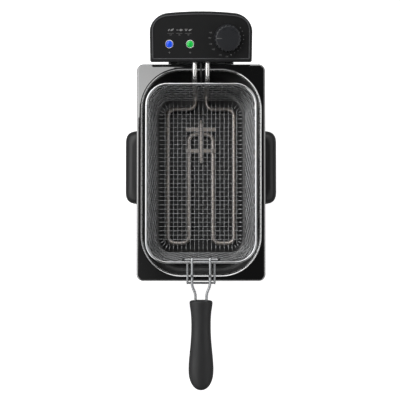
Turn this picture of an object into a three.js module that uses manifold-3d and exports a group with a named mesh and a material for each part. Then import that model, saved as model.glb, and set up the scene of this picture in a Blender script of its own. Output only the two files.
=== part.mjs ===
// A box deep fryer: casing, lift-out oil tank, lift-off control head with its heater, and a
// frying basket with a folding handle. Millimetres, +Z up, the head at the back (+Y).
import * as THREE from 'three';
import { mergeVertices } from 'three/addons/utils/BufferGeometryUtils.js';
import Module from 'manifold-3d';

const wasm = await Module();
wasm.setup();

// ---- Driving sizes -------------------------------------------------------------------------

const gap = 0.3;
const foot = { height: 7.7, radius: 11, inX: 22, inY: 27, recess: 5.5, recessDepth: 4.5, screwRise: 4 };
const pan = { floor: 2.5, lip: 18, wall: 2, slots: 6, slotPitch: 26, slotWidth: 6, slotLength: 68 };
const casing = { width: 184, depth: 314, corner: 12, wall: 1.2, height: 152.7 };
const tank = {
  inCasing: 5.75, corner: 57, rimFillet: 3, wall: 1.2,
  draftX: 6.25, draftY: 5.75, floorCorner: 48, floorFillet: 12, aboveFloorPan: 25.5,
};
const flange = { overX: 3.5, overY: 4, corner: 10, skirt: 8, edge: 2.5 };
const sideHandle = {
  length: 113, reach: 24, height: 28, wall: 3.5, corner: 19, centreY: 10, drop: 33, edge: 3,
  screwInset: 14.5, screwDrop: 9,
};
const guide = { width: 98, plate: 2, railDepth: 9.7, rail: 2.5, lip: 8.5, height: 87, stop: 4, drop: 12 };
const tongue = { plate: 2.7, side: 10, slack: 1, screwX: 22, screwZ: 23.4 };
const head = {
  width: 148.4, depth: 68.8, backRun: 27.8, crownInset: 26.2, crownDrop: 2.3, frontCorner: 3,
  overhang: 1.2, bottomGap: 3, frontHeight: 16, tilt: 16 * Math.PI / 180, wall: 2.5,
};
const post = { radius: 4, inset: 11.2, front: 12, back: 22.8 };
const panel = { inset: 4.4, recess: 1.2, thickness: 1 };
const headBox = { width: 92, depth: 38, height: 78, behindFlange: 9, corner: 4, wall: 2.5 };
const knob = {
  radius: 19.6, height: 15, inset: 35.8, v: 33.5, flutes: 24, fluteDepth: 0.7, lift: 1.2, bevel: 1.5,
};
const pointer = { inset: 3, length: 9, width: 1.6, depth: 0.6 };
const shaft = { radius: 3, grip: 10, tail: 9 };
const bush = { radius: 4.8, rise: 0.8 };
const thermostat = { size: 28, height: 11 };
const lamp = { lens: 4.7, bezel: 6.3, neck: 5.2, rise: 1.5, tail: 7, inset: 28.3, spacing: 30, v: 25.2 };
const heater = {
  radius: 3.75, spacing: 18.7, overFlange: 11, fromTankWall: 13.4, bend: 13, overFloor: 13,
  sideRoom: 25, innerHalf: 20, frontRoom: 35.5, backRoom: 33.5, innerRun: 180, fromThermostat: 2.8,
};
const elementBracket = { side: 10.9, thickness: 2, underRoof: 0.4, behindWall: 8 };
const sensor = { capillary: 1.2, x: 0, bulb: 3.2, bulbLength: 70, fromRisers: 45.9, shorter: 2 };
const clip = { overhang: 5, depth: 6, thickness: 1 };
const basket = {
  sideGap: 3.5, frontGap: 16.1, rearGap: 19.1, corner: 33, wire: 2, rimLift: 6, overSensor: 7.2,
  wall: 1.2, draftX: 12.75, draftY: 13.65, floorCorner: 22, floorFillet: 8,
};
const bracket = { wire: 1.6, halfWidth: 20, overFlange: 3.3, hook: 7 };
const pivot = { wire: 1.5, halfWidth: 26.6, below: 9, slack: 0.1 };
const grip = { length: 130.6, fromFlange: 27.4, bore: 37 };
const arm = {
  wire: 2, half: 13.2, innerHalf: 8.1, rise: 4.3, rest: 0.5, kink: 20.5, kinkRun: 5,
  bendFrom: 6.75, bendTo: 17.75,
};
const hookWindow = { side: 1, above: 5, below: 16 };
const resetButton = { radius: 4, length: 11, travel: 1.5, x: -20, z: 30, stem: 1.6, stemLength: 5 };
const cutout = { radius: 9, depth: 17, pocket: 7.5, bore: 2, boreDepth: 15 };
const gland = { radius: 6.5, flange: 10, rim: 2.7, sleeve: 16, lip: 1.5, inside: 6, bore: 3.2, x: 22, z: 22 };
const terminals = { width: 40, depth: 14, height: 14, z: 52, pitch: 13, bore: 2.2, boreDepth: 6 };
const interlock = { width: 22, depth: 11, height: 15, x: -42, fromWall: 6 };
const screw = { radius: 1.7, head: 3.4, headHeight: 2.2, length: 9 };

// ---- Levels and places worked out from them ------------------------------------------------

const panZ = foot.height + gap;
const panFloor = panZ + pan.floor;
const casingZ = panFloor + gap;
const casingTop = casingZ + casing.height;
const tankTop = casingTop + gap + tank.wall;
const tankFloor = panFloor + tank.aboveFloorPan;
const tankWidth = casing.width - 2 * tank.inCasing;
const tankDepth = casing.depth - 2 * tank.inCasing;
const tankFloorDepth = tankDepth - 2 * tank.draftY;
const tankFloorWidth = tankWidth - 2 * tank.draftX;
const flangeWidth = casing.width + 2 * flange.overX;
const flangeDepth = casing.depth + 2 * flange.overY;
const headZ = tankTop + head.bottomGap;
const headFront = flangeDepth / 2 - head.overhang;
const headBack = headFront + head.depth;
const headFrontTop = headZ + head.frontHeight;
const boxFront = flangeDepth / 2 + headBox.behindFlange;
const boxBack = boxFront + headBox.depth;
const boxZ = headZ - headBox.height;
const boxCavityBack = boxBack - headBox.wall - gap;
const guideFront = casing.depth / 2 + gap;
const guideTop = tankTop - guide.drop;
const guideZ = guideTop - guide.height;
const heaterX = heater.spacing / 2;
const heaterZ = tankTop + heater.overFlange;
const heaterY = tankDepth / 2 - heater.fromTankWall;
const loopZ = tankFloor + heater.overFloor;
const clipZ = loopZ + heater.radius + gap;
const bulbZ = clipZ + clip.thickness + gap + sensor.bulb;
const bulbBack = heaterY - sensor.fromRisers;
const rimZ = tankTop + basket.rimLift;
const basketWidth = tankWidth - 2 * basket.sideGap;
const basketFront = -tankDepth / 2 + basket.frontGap;
const basketBack = tankDepth / 2 - basket.rearGap;
const basketY = (basketFront + basketBack) / 2;
const basketLength = basketBack - basketFront;
const shellTop = rimZ - basket.wire - gap;
const shellFloor = bulbZ + sensor.bulb + basket.overSensor;
const pivotY = basketFront + 2 * basket.wire + pivot.wire + gap + pivot.slack;
const pivotZ = rimZ - pivot.below;
const gripStart = -flangeDepth / 2 - grip.fromFlange;
const shiftY = (grip.length - gripStart - headBack) / 2;
const topWall = panel.recess + head.wall;
const thermostatFront = (knob.v - thermostat.size / 2) * Math.cos(head.tilt)
  + (topWall + gap) * Math.sin(head.tilt);
const heaterEnd = headFront + thermostatFront - heater.fromThermostat;
const knobX = head.width / 2 - knob.inset;
const powerLampX = lamp.inset - head.width / 2;
const lampPlaces = { power: powerLampX, ready: powerLampX + lamp.spacing };

// ---- Materials -----------------------------------------------------------------------------

function finish(color, roughness, metalness) {
  return new THREE.MeshStandardMaterial({ color, roughness, metalness });
}

const steel = () => finish(0xb9bcbf, 0.35, 0.9);
const chrome = () => finish(0xd8dadc, 0.12, 1);
const enamel = () => finish(0x0b0b0c, 0.12, 0);
const darkPlastic = () => finish(0x2b2c2e, 0.5, 0);
const panelPlastic = () => finish(0x242527, 0.6, 0);
const zinc = () => finish(0xa7a9a6, 0.4, 0.9);
const rubber = () => finish(0x161616, 0.9, 0);

// ---- Solids --------------------------------------------------------------------------------

const object = new THREE.Group();
object.position.y = shiftY;

function place(name, geometry, material, parent = object) {
  geometry.computeVertexNormals();
  const mesh = new THREE.Mesh(geometry, material);
  mesh.name = name;
  parent.add(mesh);
  return mesh;
}

function toSolid(geometry) {
  const bare = new THREE.BufferGeometry();
  bare.setAttribute('position', geometry.getAttribute('position').clone());
  if (geometry.index) {
    bare.setIndex(geometry.index.clone());
  }
  const welded = mergeVertices(bare, 1e-4);
  const index = welded.index.array;
  const corners = [];
  for (let i = 0; i < index.length; i += 3) {
    const [a, b, c] = [index[i], index[i + 1], index[i + 2]];
    if (a !== b && b !== c && c !== a) {
      corners.push(a, b, c);
    }
  }
  const vertProperties = new Float32Array(welded.getAttribute('position').array);
  return new wasm.Manifold(new wasm.Mesh({ numProp: 3, vertProperties, triVerts: new Uint32Array(corners) }));
}

function fromSolid(solid) {
  const mesh = solid.getMesh();
  const geometry = new THREE.BufferGeometry();
  geometry.setAttribute('position', new THREE.BufferAttribute(new Float32Array(mesh.vertProperties), 3));
  geometry.setIndex(new THREE.BufferAttribute(new Uint32Array(mesh.triVerts), 1));
  return geometry;
}

function join(...geometries) {
  return fromSolid(wasm.Manifold.union(geometries.map(toSolid)));
}

function cut(base, ...tools) {
  return fromSolid(toSolid(base).subtract(wasm.Manifold.union(tools.map(toSolid))));
}

function meet(first, second) {
  return fromSolid(toSolid(first).intersect(toSolid(second)));
}

function box(x0, x1, y0, y1, z0, z1) {
  const geometry = new THREE.BoxGeometry(x1 - x0, y1 - y0, z1 - z0);
  return geometry.translate((x0 + x1) / 2, (y0 + y1) / 2, (z0 + z1) / 2);
}

function rod(radius, z0, z1, segments = 16) {
  const geometry = new THREE.CylinderGeometry(radius, radius, z1 - z0, segments);
  return geometry.rotateX(Math.PI / 2).translate(0, 0, (z0 + z1) / 2);
}

function rodAlongY(radius, y0, y1, x, z, segments = 16) {
  return rod(radius, y0, y1, segments).rotateX(-Math.PI / 2).translate(x, 0, z);
}

function rodAlongX(radius, x0, x1, y, z, segments = 16) {
  return rod(radius, x0, x1, segments).rotateY(Math.PI / 2).translate(0, y, z);
}

// A closed outline turned about +Z, each point being (radius, height).
function turned(points, segments = 18) {
  const outline = points.map(([r, z]) => new THREE.Vector2(r, z));
  return new THREE.LatheGeometry(outline, segments).rotateX(Math.PI / 2);
}

function roundedRectangle(width, depth, corner) {
  const [w, d] = [width / 2 - corner, depth / 2 - corner];
  const shape = new THREE.Shape();
  shape.absarc(w, d, corner, 0, Math.PI / 2);
  shape.absarc(-w, d, corner, Math.PI / 2, Math.PI);
  shape.absarc(-w, -d, corner, Math.PI, 1.5 * Math.PI);
  shape.absarc(w, -d, corner, 1.5 * Math.PI, 2 * Math.PI);
  return shape;
}

function slab(shape, z0, z1, curveSegments = 6) {
  const geometry = new THREE.ExtrudeGeometry(shape, { depth: z1 - z0, bevelEnabled: false, curveSegments });
  return geometry.translate(0, 0, z0);
}

// A rounded rectangle carried through levels of {z, width, depth, corner}, bottom to top.
function tub(levels, curveSegments = 6) {
  const [base, steps] = [levels[0], levels.length - 1];
  const shape = roundedRectangle(base.width, base.depth, base.corner);
  const geometry = new THREE.ExtrudeGeometry(shape, {
    depth: steps, steps, bevelEnabled: false, curveSegments,
  });
  const spots = geometry.getAttribute('position');
  const centre = [base.width / 2 - base.corner, base.depth / 2 - base.corner];
  for (let i = 0; i < spots.count; i += 1) {
    const level = levels[Math.round(spots.getZ(i))];
    const [sideX, sideY] = [Math.sign(spots.getX(i)), Math.sign(spots.getY(i))];
    const alongX = (spots.getX(i) - sideX * centre[0]) / base.corner;
    const alongY = (spots.getY(i) - sideY * centre[1]) / base.corner;
    spots.setXYZ(
      i,
      sideX * (level.width / 2 - level.corner) + alongX * level.corner,
      sideY * (level.depth / 2 - level.corner) + alongY * level.corner,
      level.z,
    );
  }
  return geometry;
}

function grown(level, by) {
  return { z: level.z, width: level.width + 2 * by, depth: level.depth + 2 * by, corner: level.corner + by };
}

// A wire or tube of the given radius along a route of points, each bend rounded.
function wire(route, radius, bend, stepLength, sides = 8) {
  const points = route.map((point) => new THREE.Vector3(...point));
  const path = new THREE.CurvePath();
  let from = points[0];
  for (let i = 1; i < points.length - 1; i += 1) {
    const [before, corner, after] = [points[i - 1], points[i], points[i + 1]];
    const room = Math.min(corner.distanceTo(before), corner.distanceTo(after)) / 2;
    const reach = Math.min(bend, room * 0.98);
    const start = corner.clone().lerp(before, reach / corner.distanceTo(before));
    const end = corner.clone().lerp(after, reach / corner.distanceTo(after));
    path.add(new THREE.LineCurve3(from, start));
    path.add(new THREE.QuadraticBezierCurve3(start, corner, end));
    from = end;
  }
  path.add(new THREE.LineCurve3(from, points.at(-1)));
  const section = new THREE.Shape();
  for (let i = 0; i < sides; i += 1) {
    const angle = 2 * Math.PI * (i + 0.5) / sides;
    const method = i === 0 ? 'moveTo' : 'lineTo';
    section[method](radius * Math.cos(angle), radius * Math.sin(angle));
  }
  const steps = Math.ceil(path.getLength() / stepLength);
  return new THREE.ExtrudeGeometry(section, { steps, extrudePath: path, bevelEnabled: false });
}

// ---- Feet, base pan and casing -------------------------------------------------------------

const footPlaces = [
  ['front_left', -1, -1], ['front_right', 1, -1], ['rear_left', -1, 1], ['rear_right', 1, 1],
].map(([name, sideX, sideY]) => ({
  name,
  x: sideX * (casing.width / 2 - foot.inX),
  y: sideY * (casing.depth / 2 - foot.inY),
}));

function footSolid({ x, y }) {
  const bore = screw.radius + gap;
  const outline = [
    [foot.recess, 0], [foot.radius - 1, 0], [foot.radius, 1], [foot.radius - 0.8, foot.height],
    [bore, foot.height], [bore, foot.recessDepth], [foot.recess, foot.recessDepth], [foot.recess, 0],
  ];
  return turned(outline, 16).translate(x, y, 0);
}

// A pan-head screw pointing up +Z, with the underside of its head at z = 0.
function screwSolid(length = screw.length) {
  return turned([
    [0, -screw.headHeight], [screw.head - 0.8, -screw.headHeight], [screw.head, 0],
    [screw.radius, 0], [screw.radius, length], [0, length],
  ], 8);
}

function panSolid() {
  const room = gap + pan.wall;
  const outer = roundedRectangle(casing.width + 2 * room, casing.depth + 2 * room, casing.corner + room);
  const inner = roundedRectangle(casing.width + 2 * gap, casing.depth + 2 * gap, casing.corner + gap);
  const tools = [slab(inner, panFloor, panZ + pan.lip + 1)];
  for (const { x, y } of footPlaces) {
    tools.push(rod(screw.radius + gap, panZ - 1, panFloor + 1, 8).translate(x, y, 0));
  }
  for (let i = 0; i < pan.slots; i += 1) {
    const y = (i - (pan.slots - 1) / 2) * pan.slotPitch;
    const [half, across] = [pan.slotLength / 2, pan.slotWidth / 2];
    tools.push(box(-half, half, y - across, y + across, panZ - 1, panFloor + 1));
  }
  return cut(slab(outer, panZ, panZ + pan.lip), ...tools);
}

const handleZ = tankTop - sideHandle.drop;
const handleScrewZ = handleZ - sideHandle.screwDrop;
const handleScrews = [-1, 1].map((side) => (
  sideHandle.centreY + side * (sideHandle.length / 2 - sideHandle.screwInset)
));
const guideScrews = [-1, 1].map((side) => ({ x: side * guide.width / 4, z: guideZ + guide.height / 2 }));

function casingSolid() {
  const inside = casing.corner - casing.wall;
  const outer = roundedRectangle(casing.width, casing.depth, casing.corner);
  const inner = roundedRectangle(casing.width - 2 * casing.wall, casing.depth - 2 * casing.wall, inside);
  const tools = [slab(inner, casingZ - 1, casingTop + 1)];
  for (const y of handleScrews) {
    tools.push(rodAlongX(screw.radius + gap, -casing.width, casing.width, y, handleScrewZ, 8));
  }
  for (const { x, z } of guideScrews) {
    tools.push(rodAlongY(screw.radius + gap, 0, casing.depth, x, z, 8));
  }
  return cut(slab(outer, casingZ, casingTop), ...tools);
}

for (const corner of footPlaces) {
  place(`foot_${corner.name}`, footSolid(corner), rubber());
  const footScrew = screwSolid(panFloor - foot.recessDepth + foot.screwRise);
  place(`foot_screw_${corner.name}`, footScrew, zinc())
    .position.set(corner.x, corner.y, foot.recessDepth - gap);
}
place('base_pan', panSolid(), darkPlastic());
place('outer_casing', casingSolid(), steel());

// ---- Side handles --------------------------------------------------------------------------

function sideHandleSolid(side) {
  const [half, near] = [sideHandle.length / 2, casing.width / 2 + gap];
  const plan = (inset) => {
    const [end, far] = [half - inset, near + sideHandle.reach - inset];
    const shape = new THREE.Shape();
    shape.moveTo(near + inset, -end);
    shape.bezierCurveTo(far - 5, -end, far, -end + 9, far, -end + sideHandle.corner);
    shape.lineTo(far, end - sideHandle.corner);
    shape.bezierCurveTo(far, end - 9, far - 5, end, near + inset, end);
    return shape;
  };
  const edge = sideHandle.edge;
  const body = new THREE.ExtrudeGeometry(plan(0), {
    depth: sideHandle.height - edge, bevelThickness: edge, bevelSize: edge, bevelOffset: -edge,
    bevelSegments: 3, curveSegments: 6,
  }).translate(0, 0, handleZ - sideHandle.height);
  const square = box(near, near + 2 * sideHandle.reach, -half, half, handleZ - sideHandle.height, handleZ);
  const hollow = slab(plan(sideHandle.wall), handleZ - 2 * sideHandle.height, handleZ - sideHandle.wall);
  const bores = handleScrews.map((y) => rodAlongX(
    screw.radius + gap / 2, near - 1, near + screw.length + 1, y - sideHandle.centreY, handleScrewZ, 8,
  ));
  const bosses = handleScrews.map((y) => rodAlongX(
    screw.head, near + 1, near + screw.length, y - sideHandle.centreY, handleScrewZ, 8,
  ));
  const flatBack = box(
    near, near + edge + 1, -half + 1, half - 1, handleZ - sideHandle.height, handleZ - edge,
  );
  const backed = join(body, flatBack);
  const shell = cut(join(cut(meet(backed, square), hollow), ...bosses), ...bores);
  if (side < 0) {
    shell.rotateZ(Math.PI);
  }
  return shell.translate(0, sideHandle.centreY, 0);
}

for (const [name, side] of [['left', -1], ['right', 1]]) {
  place(`${name}_handle`, sideHandleSolid(side), darkPlastic());
  handleScrews.forEach((y, i) => {
    const mesh = place(`${name}_handle_screw_${i + 1}`, screwSolid(), zinc());
    mesh.rotation.y = side * Math.PI / 2;
    mesh.position.set(side * (casing.width / 2 - casing.wall - gap), y, handleScrewZ);
  });
}

// ---- Guide on the back of the casing, where the head slides in -----------------------------

function guideSolid() {
  const [half, back] = [guide.width / 2, guideFront + guide.plate];
  const end = back + guide.railDepth;
  const walls = [box(-half, half, guideFront, back, guideZ, guideTop)];
  walls.push(box(-half, half, guideFront, end, guideZ - guide.stop, guideZ));
  for (const side of [-1, 1]) {
    const [inner, outer] = [side * (half - guide.rail), side * half];
    const reach = side * (half - guide.rail - guide.lip);
    walls.push(box(Math.min(inner, outer), Math.max(inner, outer), guideFront, end, guideZ, guideTop));
    walls.push(box(Math.min(reach, outer), Math.max(reach, outer), end - guide.rail, end, guideZ, guideTop));
  }
  const bores = guideScrews.map(({ x, z }) => (
    rodAlongY(screw.radius + gap / 2, guideFront - 1, back + 1, x, z, 8)
  ));
  return cut(join(...walls), ...bores);
}

place('rear_guide', guideSolid(), zinc());
guideScrews.forEach(({ x, z }, i) => {
  const mesh = place(`guide_screw_${i + 1}`, screwSolid(casing.wall + gap + guide.plate), zinc());
  mesh.rotation.x = -Math.PI / 2;
  mesh.position.set(x, casing.depth / 2 - casing.wall - gap, z);
});

// ---- Oil tank ------------------------------------------------------------------------------

const quarter = [0, 0.5, 1].map((share) => share * Math.PI / 2);

function tankLevel(z) {
  const share = (z - tankFloor) / (tankTop - tankFloor);
  return {
    z,
    width: tankFloorWidth + share * (tankWidth - tankFloorWidth),
    depth: tankFloorDepth + share * (tankDepth - tankFloorDepth),
    corner: tank.floorCorner + share * (tank.corner - tank.floorCorner),
  };
}

function tankSolid() {
  const fillet = tank.floorFillet;
  const cavity = quarter.map((a) => grown(
    tankLevel(tankFloor + fillet * (1 - Math.cos(a))), -fillet * (1 - Math.sin(a)),
  ));
  const body = quarter.map((a) => grown(
    { ...tankLevel(tankFloor + fillet * (1 - Math.cos(a))),
      z: tankFloor - tank.wall + (fillet + tank.wall) * (1 - Math.cos(a)) },
    tank.wall - (fillet + tank.wall) * (1 - Math.sin(a)),
  ));
  const rim = tank.rimFillet;
  for (const a of quarter) {
    const flat = tankLevel(tankTop - rim);
    cavity.push(grown({ ...flat, z: tankTop - rim + rim * Math.sin(a) }, rim * (1 - Math.cos(a))));
    const outside = rim - tank.wall;
    const z = tankTop - rim + outside * Math.sin(a);
    body.push(grown({ ...flat, z }, tank.wall + outside * (1 - Math.cos(a))));
  }
  cavity.push({ ...cavity.at(-1), z: tankTop + 1 });
  body.push({ ...body.at(-1), z: tankTop - tank.wall / 2 });
  const plan = { width: flangeWidth, depth: flangeDepth, corner: flange.corner };
  const skirt = [{ ...plan, z: tankTop - flange.skirt }];
  const under = [grown({ ...plan, z: tankTop - flange.skirt - 1 }, -tank.wall)];
  const edge = flange.edge - tank.wall;
  for (const a of quarter) {
    const inset = flange.edge * (1 - Math.cos(a));
    skirt.push(grown({ ...plan, z: tankTop - flange.edge * (1 - Math.sin(a)) }, -inset));
    const below = tankTop - tank.wall - edge * (1 - Math.sin(a));
    under.push(grown({ ...plan, z: below }, -tank.wall - edge * (1 - Math.cos(a))));
  }
  return cut(join(cut(tub(skirt), tub(under)), tub(body)), tub(cavity));
}

place('oil_tank', tankSolid(), enamel());

// ---- Control head --------------------------------------------------------------------------

function headOutline(inset) {
  const half = head.width / 2 - inset;
  const [front, back] = [headFront + inset, headBack - inset];
  const knee = headFront + head.depth - head.backRun;
  const crown = head.width / 2 - head.crownInset - 0.35 * inset;
  const shoulder = back - head.crownDrop;
  const corner = Math.max(head.frontCorner - inset, 0.8);
  const shape = new THREE.Shape();
  shape.moveTo(-half + corner, front);
  shape.lineTo(half - corner, front);
  shape.quadraticCurveTo(half, front, half, front + corner);
  shape.lineTo(half, knee);
  shape.bezierCurveTo(half, knee + 13, crown + 14, shoulder - 1.3, crown, shoulder);
  shape.quadraticCurveTo(0, back + head.crownDrop, -crown, shoulder);
  shape.bezierCurveTo(-crown - 14, shoulder - 1.3, -half, knee + 13, -half, knee);
  shape.lineTo(-half, front + corner);
  shape.quadraticCurveTo(-half, front, -half + corner, front);
  return shape;
}

// The sloping top of the head is a frame of its own: u = X, v up the slope, n away from it.
const slope = new THREE.Matrix4().makeRotationX(head.tilt).setPosition(0, headFront, headFrontTop);
const onPanel = new THREE.Group();
onPanel.position.set(0, headFront, headFrontTop);
onPanel.rotation.x = head.tilt;
object.add(onPanel);

function slopeLayer(n0, n1) {
  return box(-head.width, head.width, -head.width, 2 * head.width, n0, n1).applyMatrix4(slope);
}

function slopeRod(radius, u, v, n0, n1, segments = 16) {
  return rod(radius, n0, n1, segments).translate(u, v, 0).applyMatrix4(slope);
}

function headPrism(inset, z0, n1) {
  const tall = headFrontTop + head.depth;
  return cut(slab(headOutline(inset), z0, tall), slopeLayer(n1, 2 * head.width));
}

const panelTop = -panel.recess + gap / 3 + panel.thickness;
const headPosts = [post.front, head.depth - post.back].flatMap((y) => [-1, 1].map((side) => ({
  x: side * (head.width / 2 - post.inset),
  y: headFront + y,
})));
const tubeHoles = [-heaterX, heaterX].map((x) => ({ x, radius: heater.radius + gap }));
tubeHoles.push({ x: sensor.x, radius: sensor.capillary + gap });

function housingSolid() {
  const shell = cut(
    headPrism(0, headZ, 0),
    headPrism(head.wall, headZ - 1, -topWall),
    meet(slab(headOutline(panel.inset - gap), headZ, headFrontTop + head.depth),
      slopeLayer(-panel.recess, 20)),
  );
  const floor = headZ + headBox.wall + gap;
  const posts = headPosts.map(({ x, y }) => meet(
    rod(post.radius, floor, headFrontTop + head.depth, 12).translate(x, y, 0),
    headPrism(1, headZ, -topWall + 0.5),
  ));
  const holes = [slopeRod(bush.radius + gap, knobX, knob.v, -30, 5)];
  for (const u of Object.values(lampPlaces)) {
    holes.push(slopeRod(lamp.neck + gap, u, lamp.v, -30, 5));
  }
  for (const { x, radius } of tubeHoles) {
    holes.push(rodAlongY(radius, headFront - 1, headFront + head.wall + 1, x, heaterZ));
  }
  for (const { x, y } of headPosts) {
    holes.push(rod(screw.radius + gap / 2, floor - 1, floor + screw.length - 2, 12).translate(x, y, 0));
  }
  return cut(join(shell, ...posts), ...holes);
}

function headBaseSolid() {
  const plate = slab(headOutline(head.wall + gap), headZ, headZ + headBox.wall);
  const centre = (boxFront + boxBack) / 2;
  const outer = roundedRectangle(headBox.width, headBox.depth, headBox.corner);
  const [width, depth] = [headBox.width - 2 * headBox.wall, headBox.depth - 2 * headBox.wall];
  const inner = roundedRectangle(width, depth, headBox.corner - headBox.wall);
  const lowerBox = slab(outer, boxZ, headZ + headBox.wall).translate(0, centre, 0);
  const hollow = slab(inner, boxZ + headBox.wall, headZ + headBox.wall + 1).translate(0, centre, 0);
  const holes = headPosts.map(({ x, y }) => (
    rod(screw.radius + gap, headZ - 1, headZ + 2 * headBox.wall, 12).translate(x, y, 0)
  ));
  const [back0, back1] = [boxBack - headBox.wall - 1, boxBack + 1];
  holes.push(rodAlongY(resetButton.radius + gap, back0, back1, resetButton.x, boxZ + resetButton.z));
  holes.push(rodAlongY(gland.radius + gap, back0, back1, gland.x, boxZ + gland.z));
  for (const { x, z } of tongueScrews) {
    holes.push(rodAlongY(screw.radius + gap, boxFront - 1, boxFront + headBox.wall + 1, x, z, 8));
  }
  return cut(join(plate, lowerBox), hollow, ...holes);
}

const tongueScrews = [-1, 1].map((side) => ({ x: side * tongue.screwX, z: boxZ + tongue.screwZ }));

function tongueSolid() {
  const half = guide.width / 2 - guide.rail - gap;
  const [front, bottom] = [flangeDepth / 2 + tongue.slack, guideZ + tongue.slack];
  const web = half - tongue.side;
  const plate = box(-half, half, front, front + tongue.plate, bottom, guideTop);
  const block = box(-web, web, front + tongue.plate - 1, boxFront - gap, boxZ, guideTop - 2);
  const bores = tongueScrews.map(({ x, z }) => rodAlongY(
    screw.radius + gap / 2, boxFront + headBox.wall - screw.length, boxFront, x, z, 8,
  ));
  return cut(join(plate, block), ...bores);
}

place('head_housing', housingSolid(), darkPlastic());
place('head_base', headBaseSolid(), darkPlastic());
place('head_tongue', tongueSolid(), zinc());
headPosts.forEach(({ x, y }, i) => {
  place(`head_screw_${i + 1}`, screwSolid(), zinc()).position.set(x, y, headZ - gap);
});
tongueScrews.forEach(({ x, z }, i) => {
  const mesh = place(`tongue_screw_${i + 1}`, screwSolid(screw.length - 1), zinc());
  mesh.rotation.x = Math.PI / 2;
  mesh.position.set(x, boxFront + headBox.wall + gap, z);
});

function panelSolid() {
  const plate = meet(
    slab(headOutline(panel.inset), headZ, headFrontTop + head.depth),
    slopeLayer(panelTop - panel.thickness, panelTop),
  );
  const holes = Object.values(lampPlaces).map((u) => slopeRod(lamp.neck + gap, u, lamp.v, -5, 5));
  return cut(plate, slopeRod(bush.radius + gap, knobX, knob.v, -5, 5), ...holes);
}

place('control_panel', panelSolid(), panelPlastic());

// ---- Thermostat, its shaft and the knob ----------------------------------------------------

function thermostatSolid() {
  const top = -topWall - gap;
  const half = thermostat.size / 2;
  const body = box(-half, half, -half, half, top - thermostat.height, top);
  const neck = rod(bush.radius, top - 1, panelTop + bush.rise, 20);
  return cut(join(body, neck), rod(shaft.radius + gap, top - shaft.tail, panelTop + 5));
}

function knobSolid() {
  const shape = new THREE.Shape();
  const points = knob.flutes * 2;
  for (let i = 0; i < points; i += 1) {
    const angle = 2 * Math.PI * i / points;
    const radius = knob.radius - (i % 2) * knob.fluteDepth;
    const method = i === 0 ? 'moveTo' : 'lineTo';
    shape[method](radius * Math.cos(angle), radius * Math.sin(angle));
  }
  const bevel = knob.bevel;
  const body = new THREE.ExtrudeGeometry(shape, {
    depth: knob.height - 2 * bevel, bevelThickness: bevel, bevelSize: bevel, bevelOffset: -bevel,
    bevelSegments: 2,
  }).translate(0, 0, bevel);
  const tip = -knob.radius + pointer.inset;
  const across = pointer.width / 2;
  const mark = box(tip, tip + pointer.length, -across, across, knob.height - pointer.depth, knob.height + 1);
  return cut(body, mark, rod(shaft.radius + gap, -1, shaft.grip + gap));
}

place('thermostat_body', thermostatSolid(), zinc(), onPanel).position.set(knobX, knob.v, 0);
place('thermostat_shaft', rod(shaft.radius, -shaft.tail, panelTop + knob.lift + shaft.grip), zinc(), onPanel)
  .position.set(knobX, knob.v, 0);
place('knob', knobSolid(), darkPlastic(), onPanel).position.set(knobX, knob.v, panelTop + knob.lift);

// ---- Indicator lamps -----------------------------------------------------------------------

const lensColours = { power: 0x2f7fd0, ready: 0x35b058 };

function bezelSolid() {
  const [bore, seat] = [lamp.lens + gap, 0.1];
  return turned([
    [bore, -lamp.tail + 2], [lamp.neck, -lamp.tail + 2], [lamp.neck, seat], [lamp.bezel, seat],
    [lamp.bezel, seat + 0.5], [lamp.bezel - 0.8, lamp.rise], [bore, lamp.rise - 0.2], [bore, -lamp.tail + 2],
  ]);
}

function lensSolid() {
  const r = lamp.lens;
  return turned([[0, -lamp.tail], [r, -lamp.tail], [r, 0.6], [r * 0.75, 1.5], [r * 0.4, 2], [0, 2.2]]);
}

for (const [name, u] of Object.entries(lampPlaces)) {
  place(`${name}_lamp_bezel`, bezelSolid(), chrome(), onPanel).position.set(u, lamp.v, panelTop);
  const glass = finish(lensColours[name], 0.15, 0);
  place(`${name}_lamp_lens`, lensSolid(), glass, onPanel).position.set(u, lamp.v, panelTop);
}

// ---- Heating element, sensor and what is inside the head -----------------------------------

function elementSolid() {
  const side = tankFloorWidth / 2 - heater.sideRoom;
  const front = -tankFloorDepth / 2 + heater.frontRoom;
  const back = tankFloorDepth / 2 - heater.backRoom;
  const half = [
    [heaterX, heaterEnd, heaterZ], [heaterX, heaterY, heaterZ], [heaterX, heaterY, loopZ],
    [heaterX, back, loopZ], [side, back, loopZ], [side, front, loopZ],
    [heater.innerHalf, front, loopZ], [heater.innerHalf, front + heater.innerRun, loopZ],
  ];
  const other = half.map(([x, y, z]) => [-x, y, z]).reverse();
  return wire([...half, ...other], heater.radius, heater.bend, 14);
}

function elementBracketSolid() {
  const half = heaterX + heater.radius + elementBracket.side;
  const front = headFront + head.wall + elementBracket.behindWall;
  const back = front + elementBracket.thickness;
  const roof = headFrontTop + (front - headFront) * Math.tan(head.tilt) - topWall / Math.cos(head.tilt);
  const top = roof - elementBracket.underRoof;
  const plate = box(-half, half, front, back, headZ + headBox.wall + gap, top);
  return cut(plate, ...tubeHoles.map(({ x, radius }) => rodAlongY(radius, front - 1, back + 1, x, heaterZ)));
}

function capillarySolid() {
  const route = [
    [sensor.x, heaterEnd - sensor.shorter, heaterZ], [sensor.x, heaterY, heaterZ],
    [sensor.x, heaterY, bulbZ], [sensor.x, bulbBack + gap, bulbZ],
  ];
  return wire(route, sensor.capillary, 8, 7, 6);
}

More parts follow.
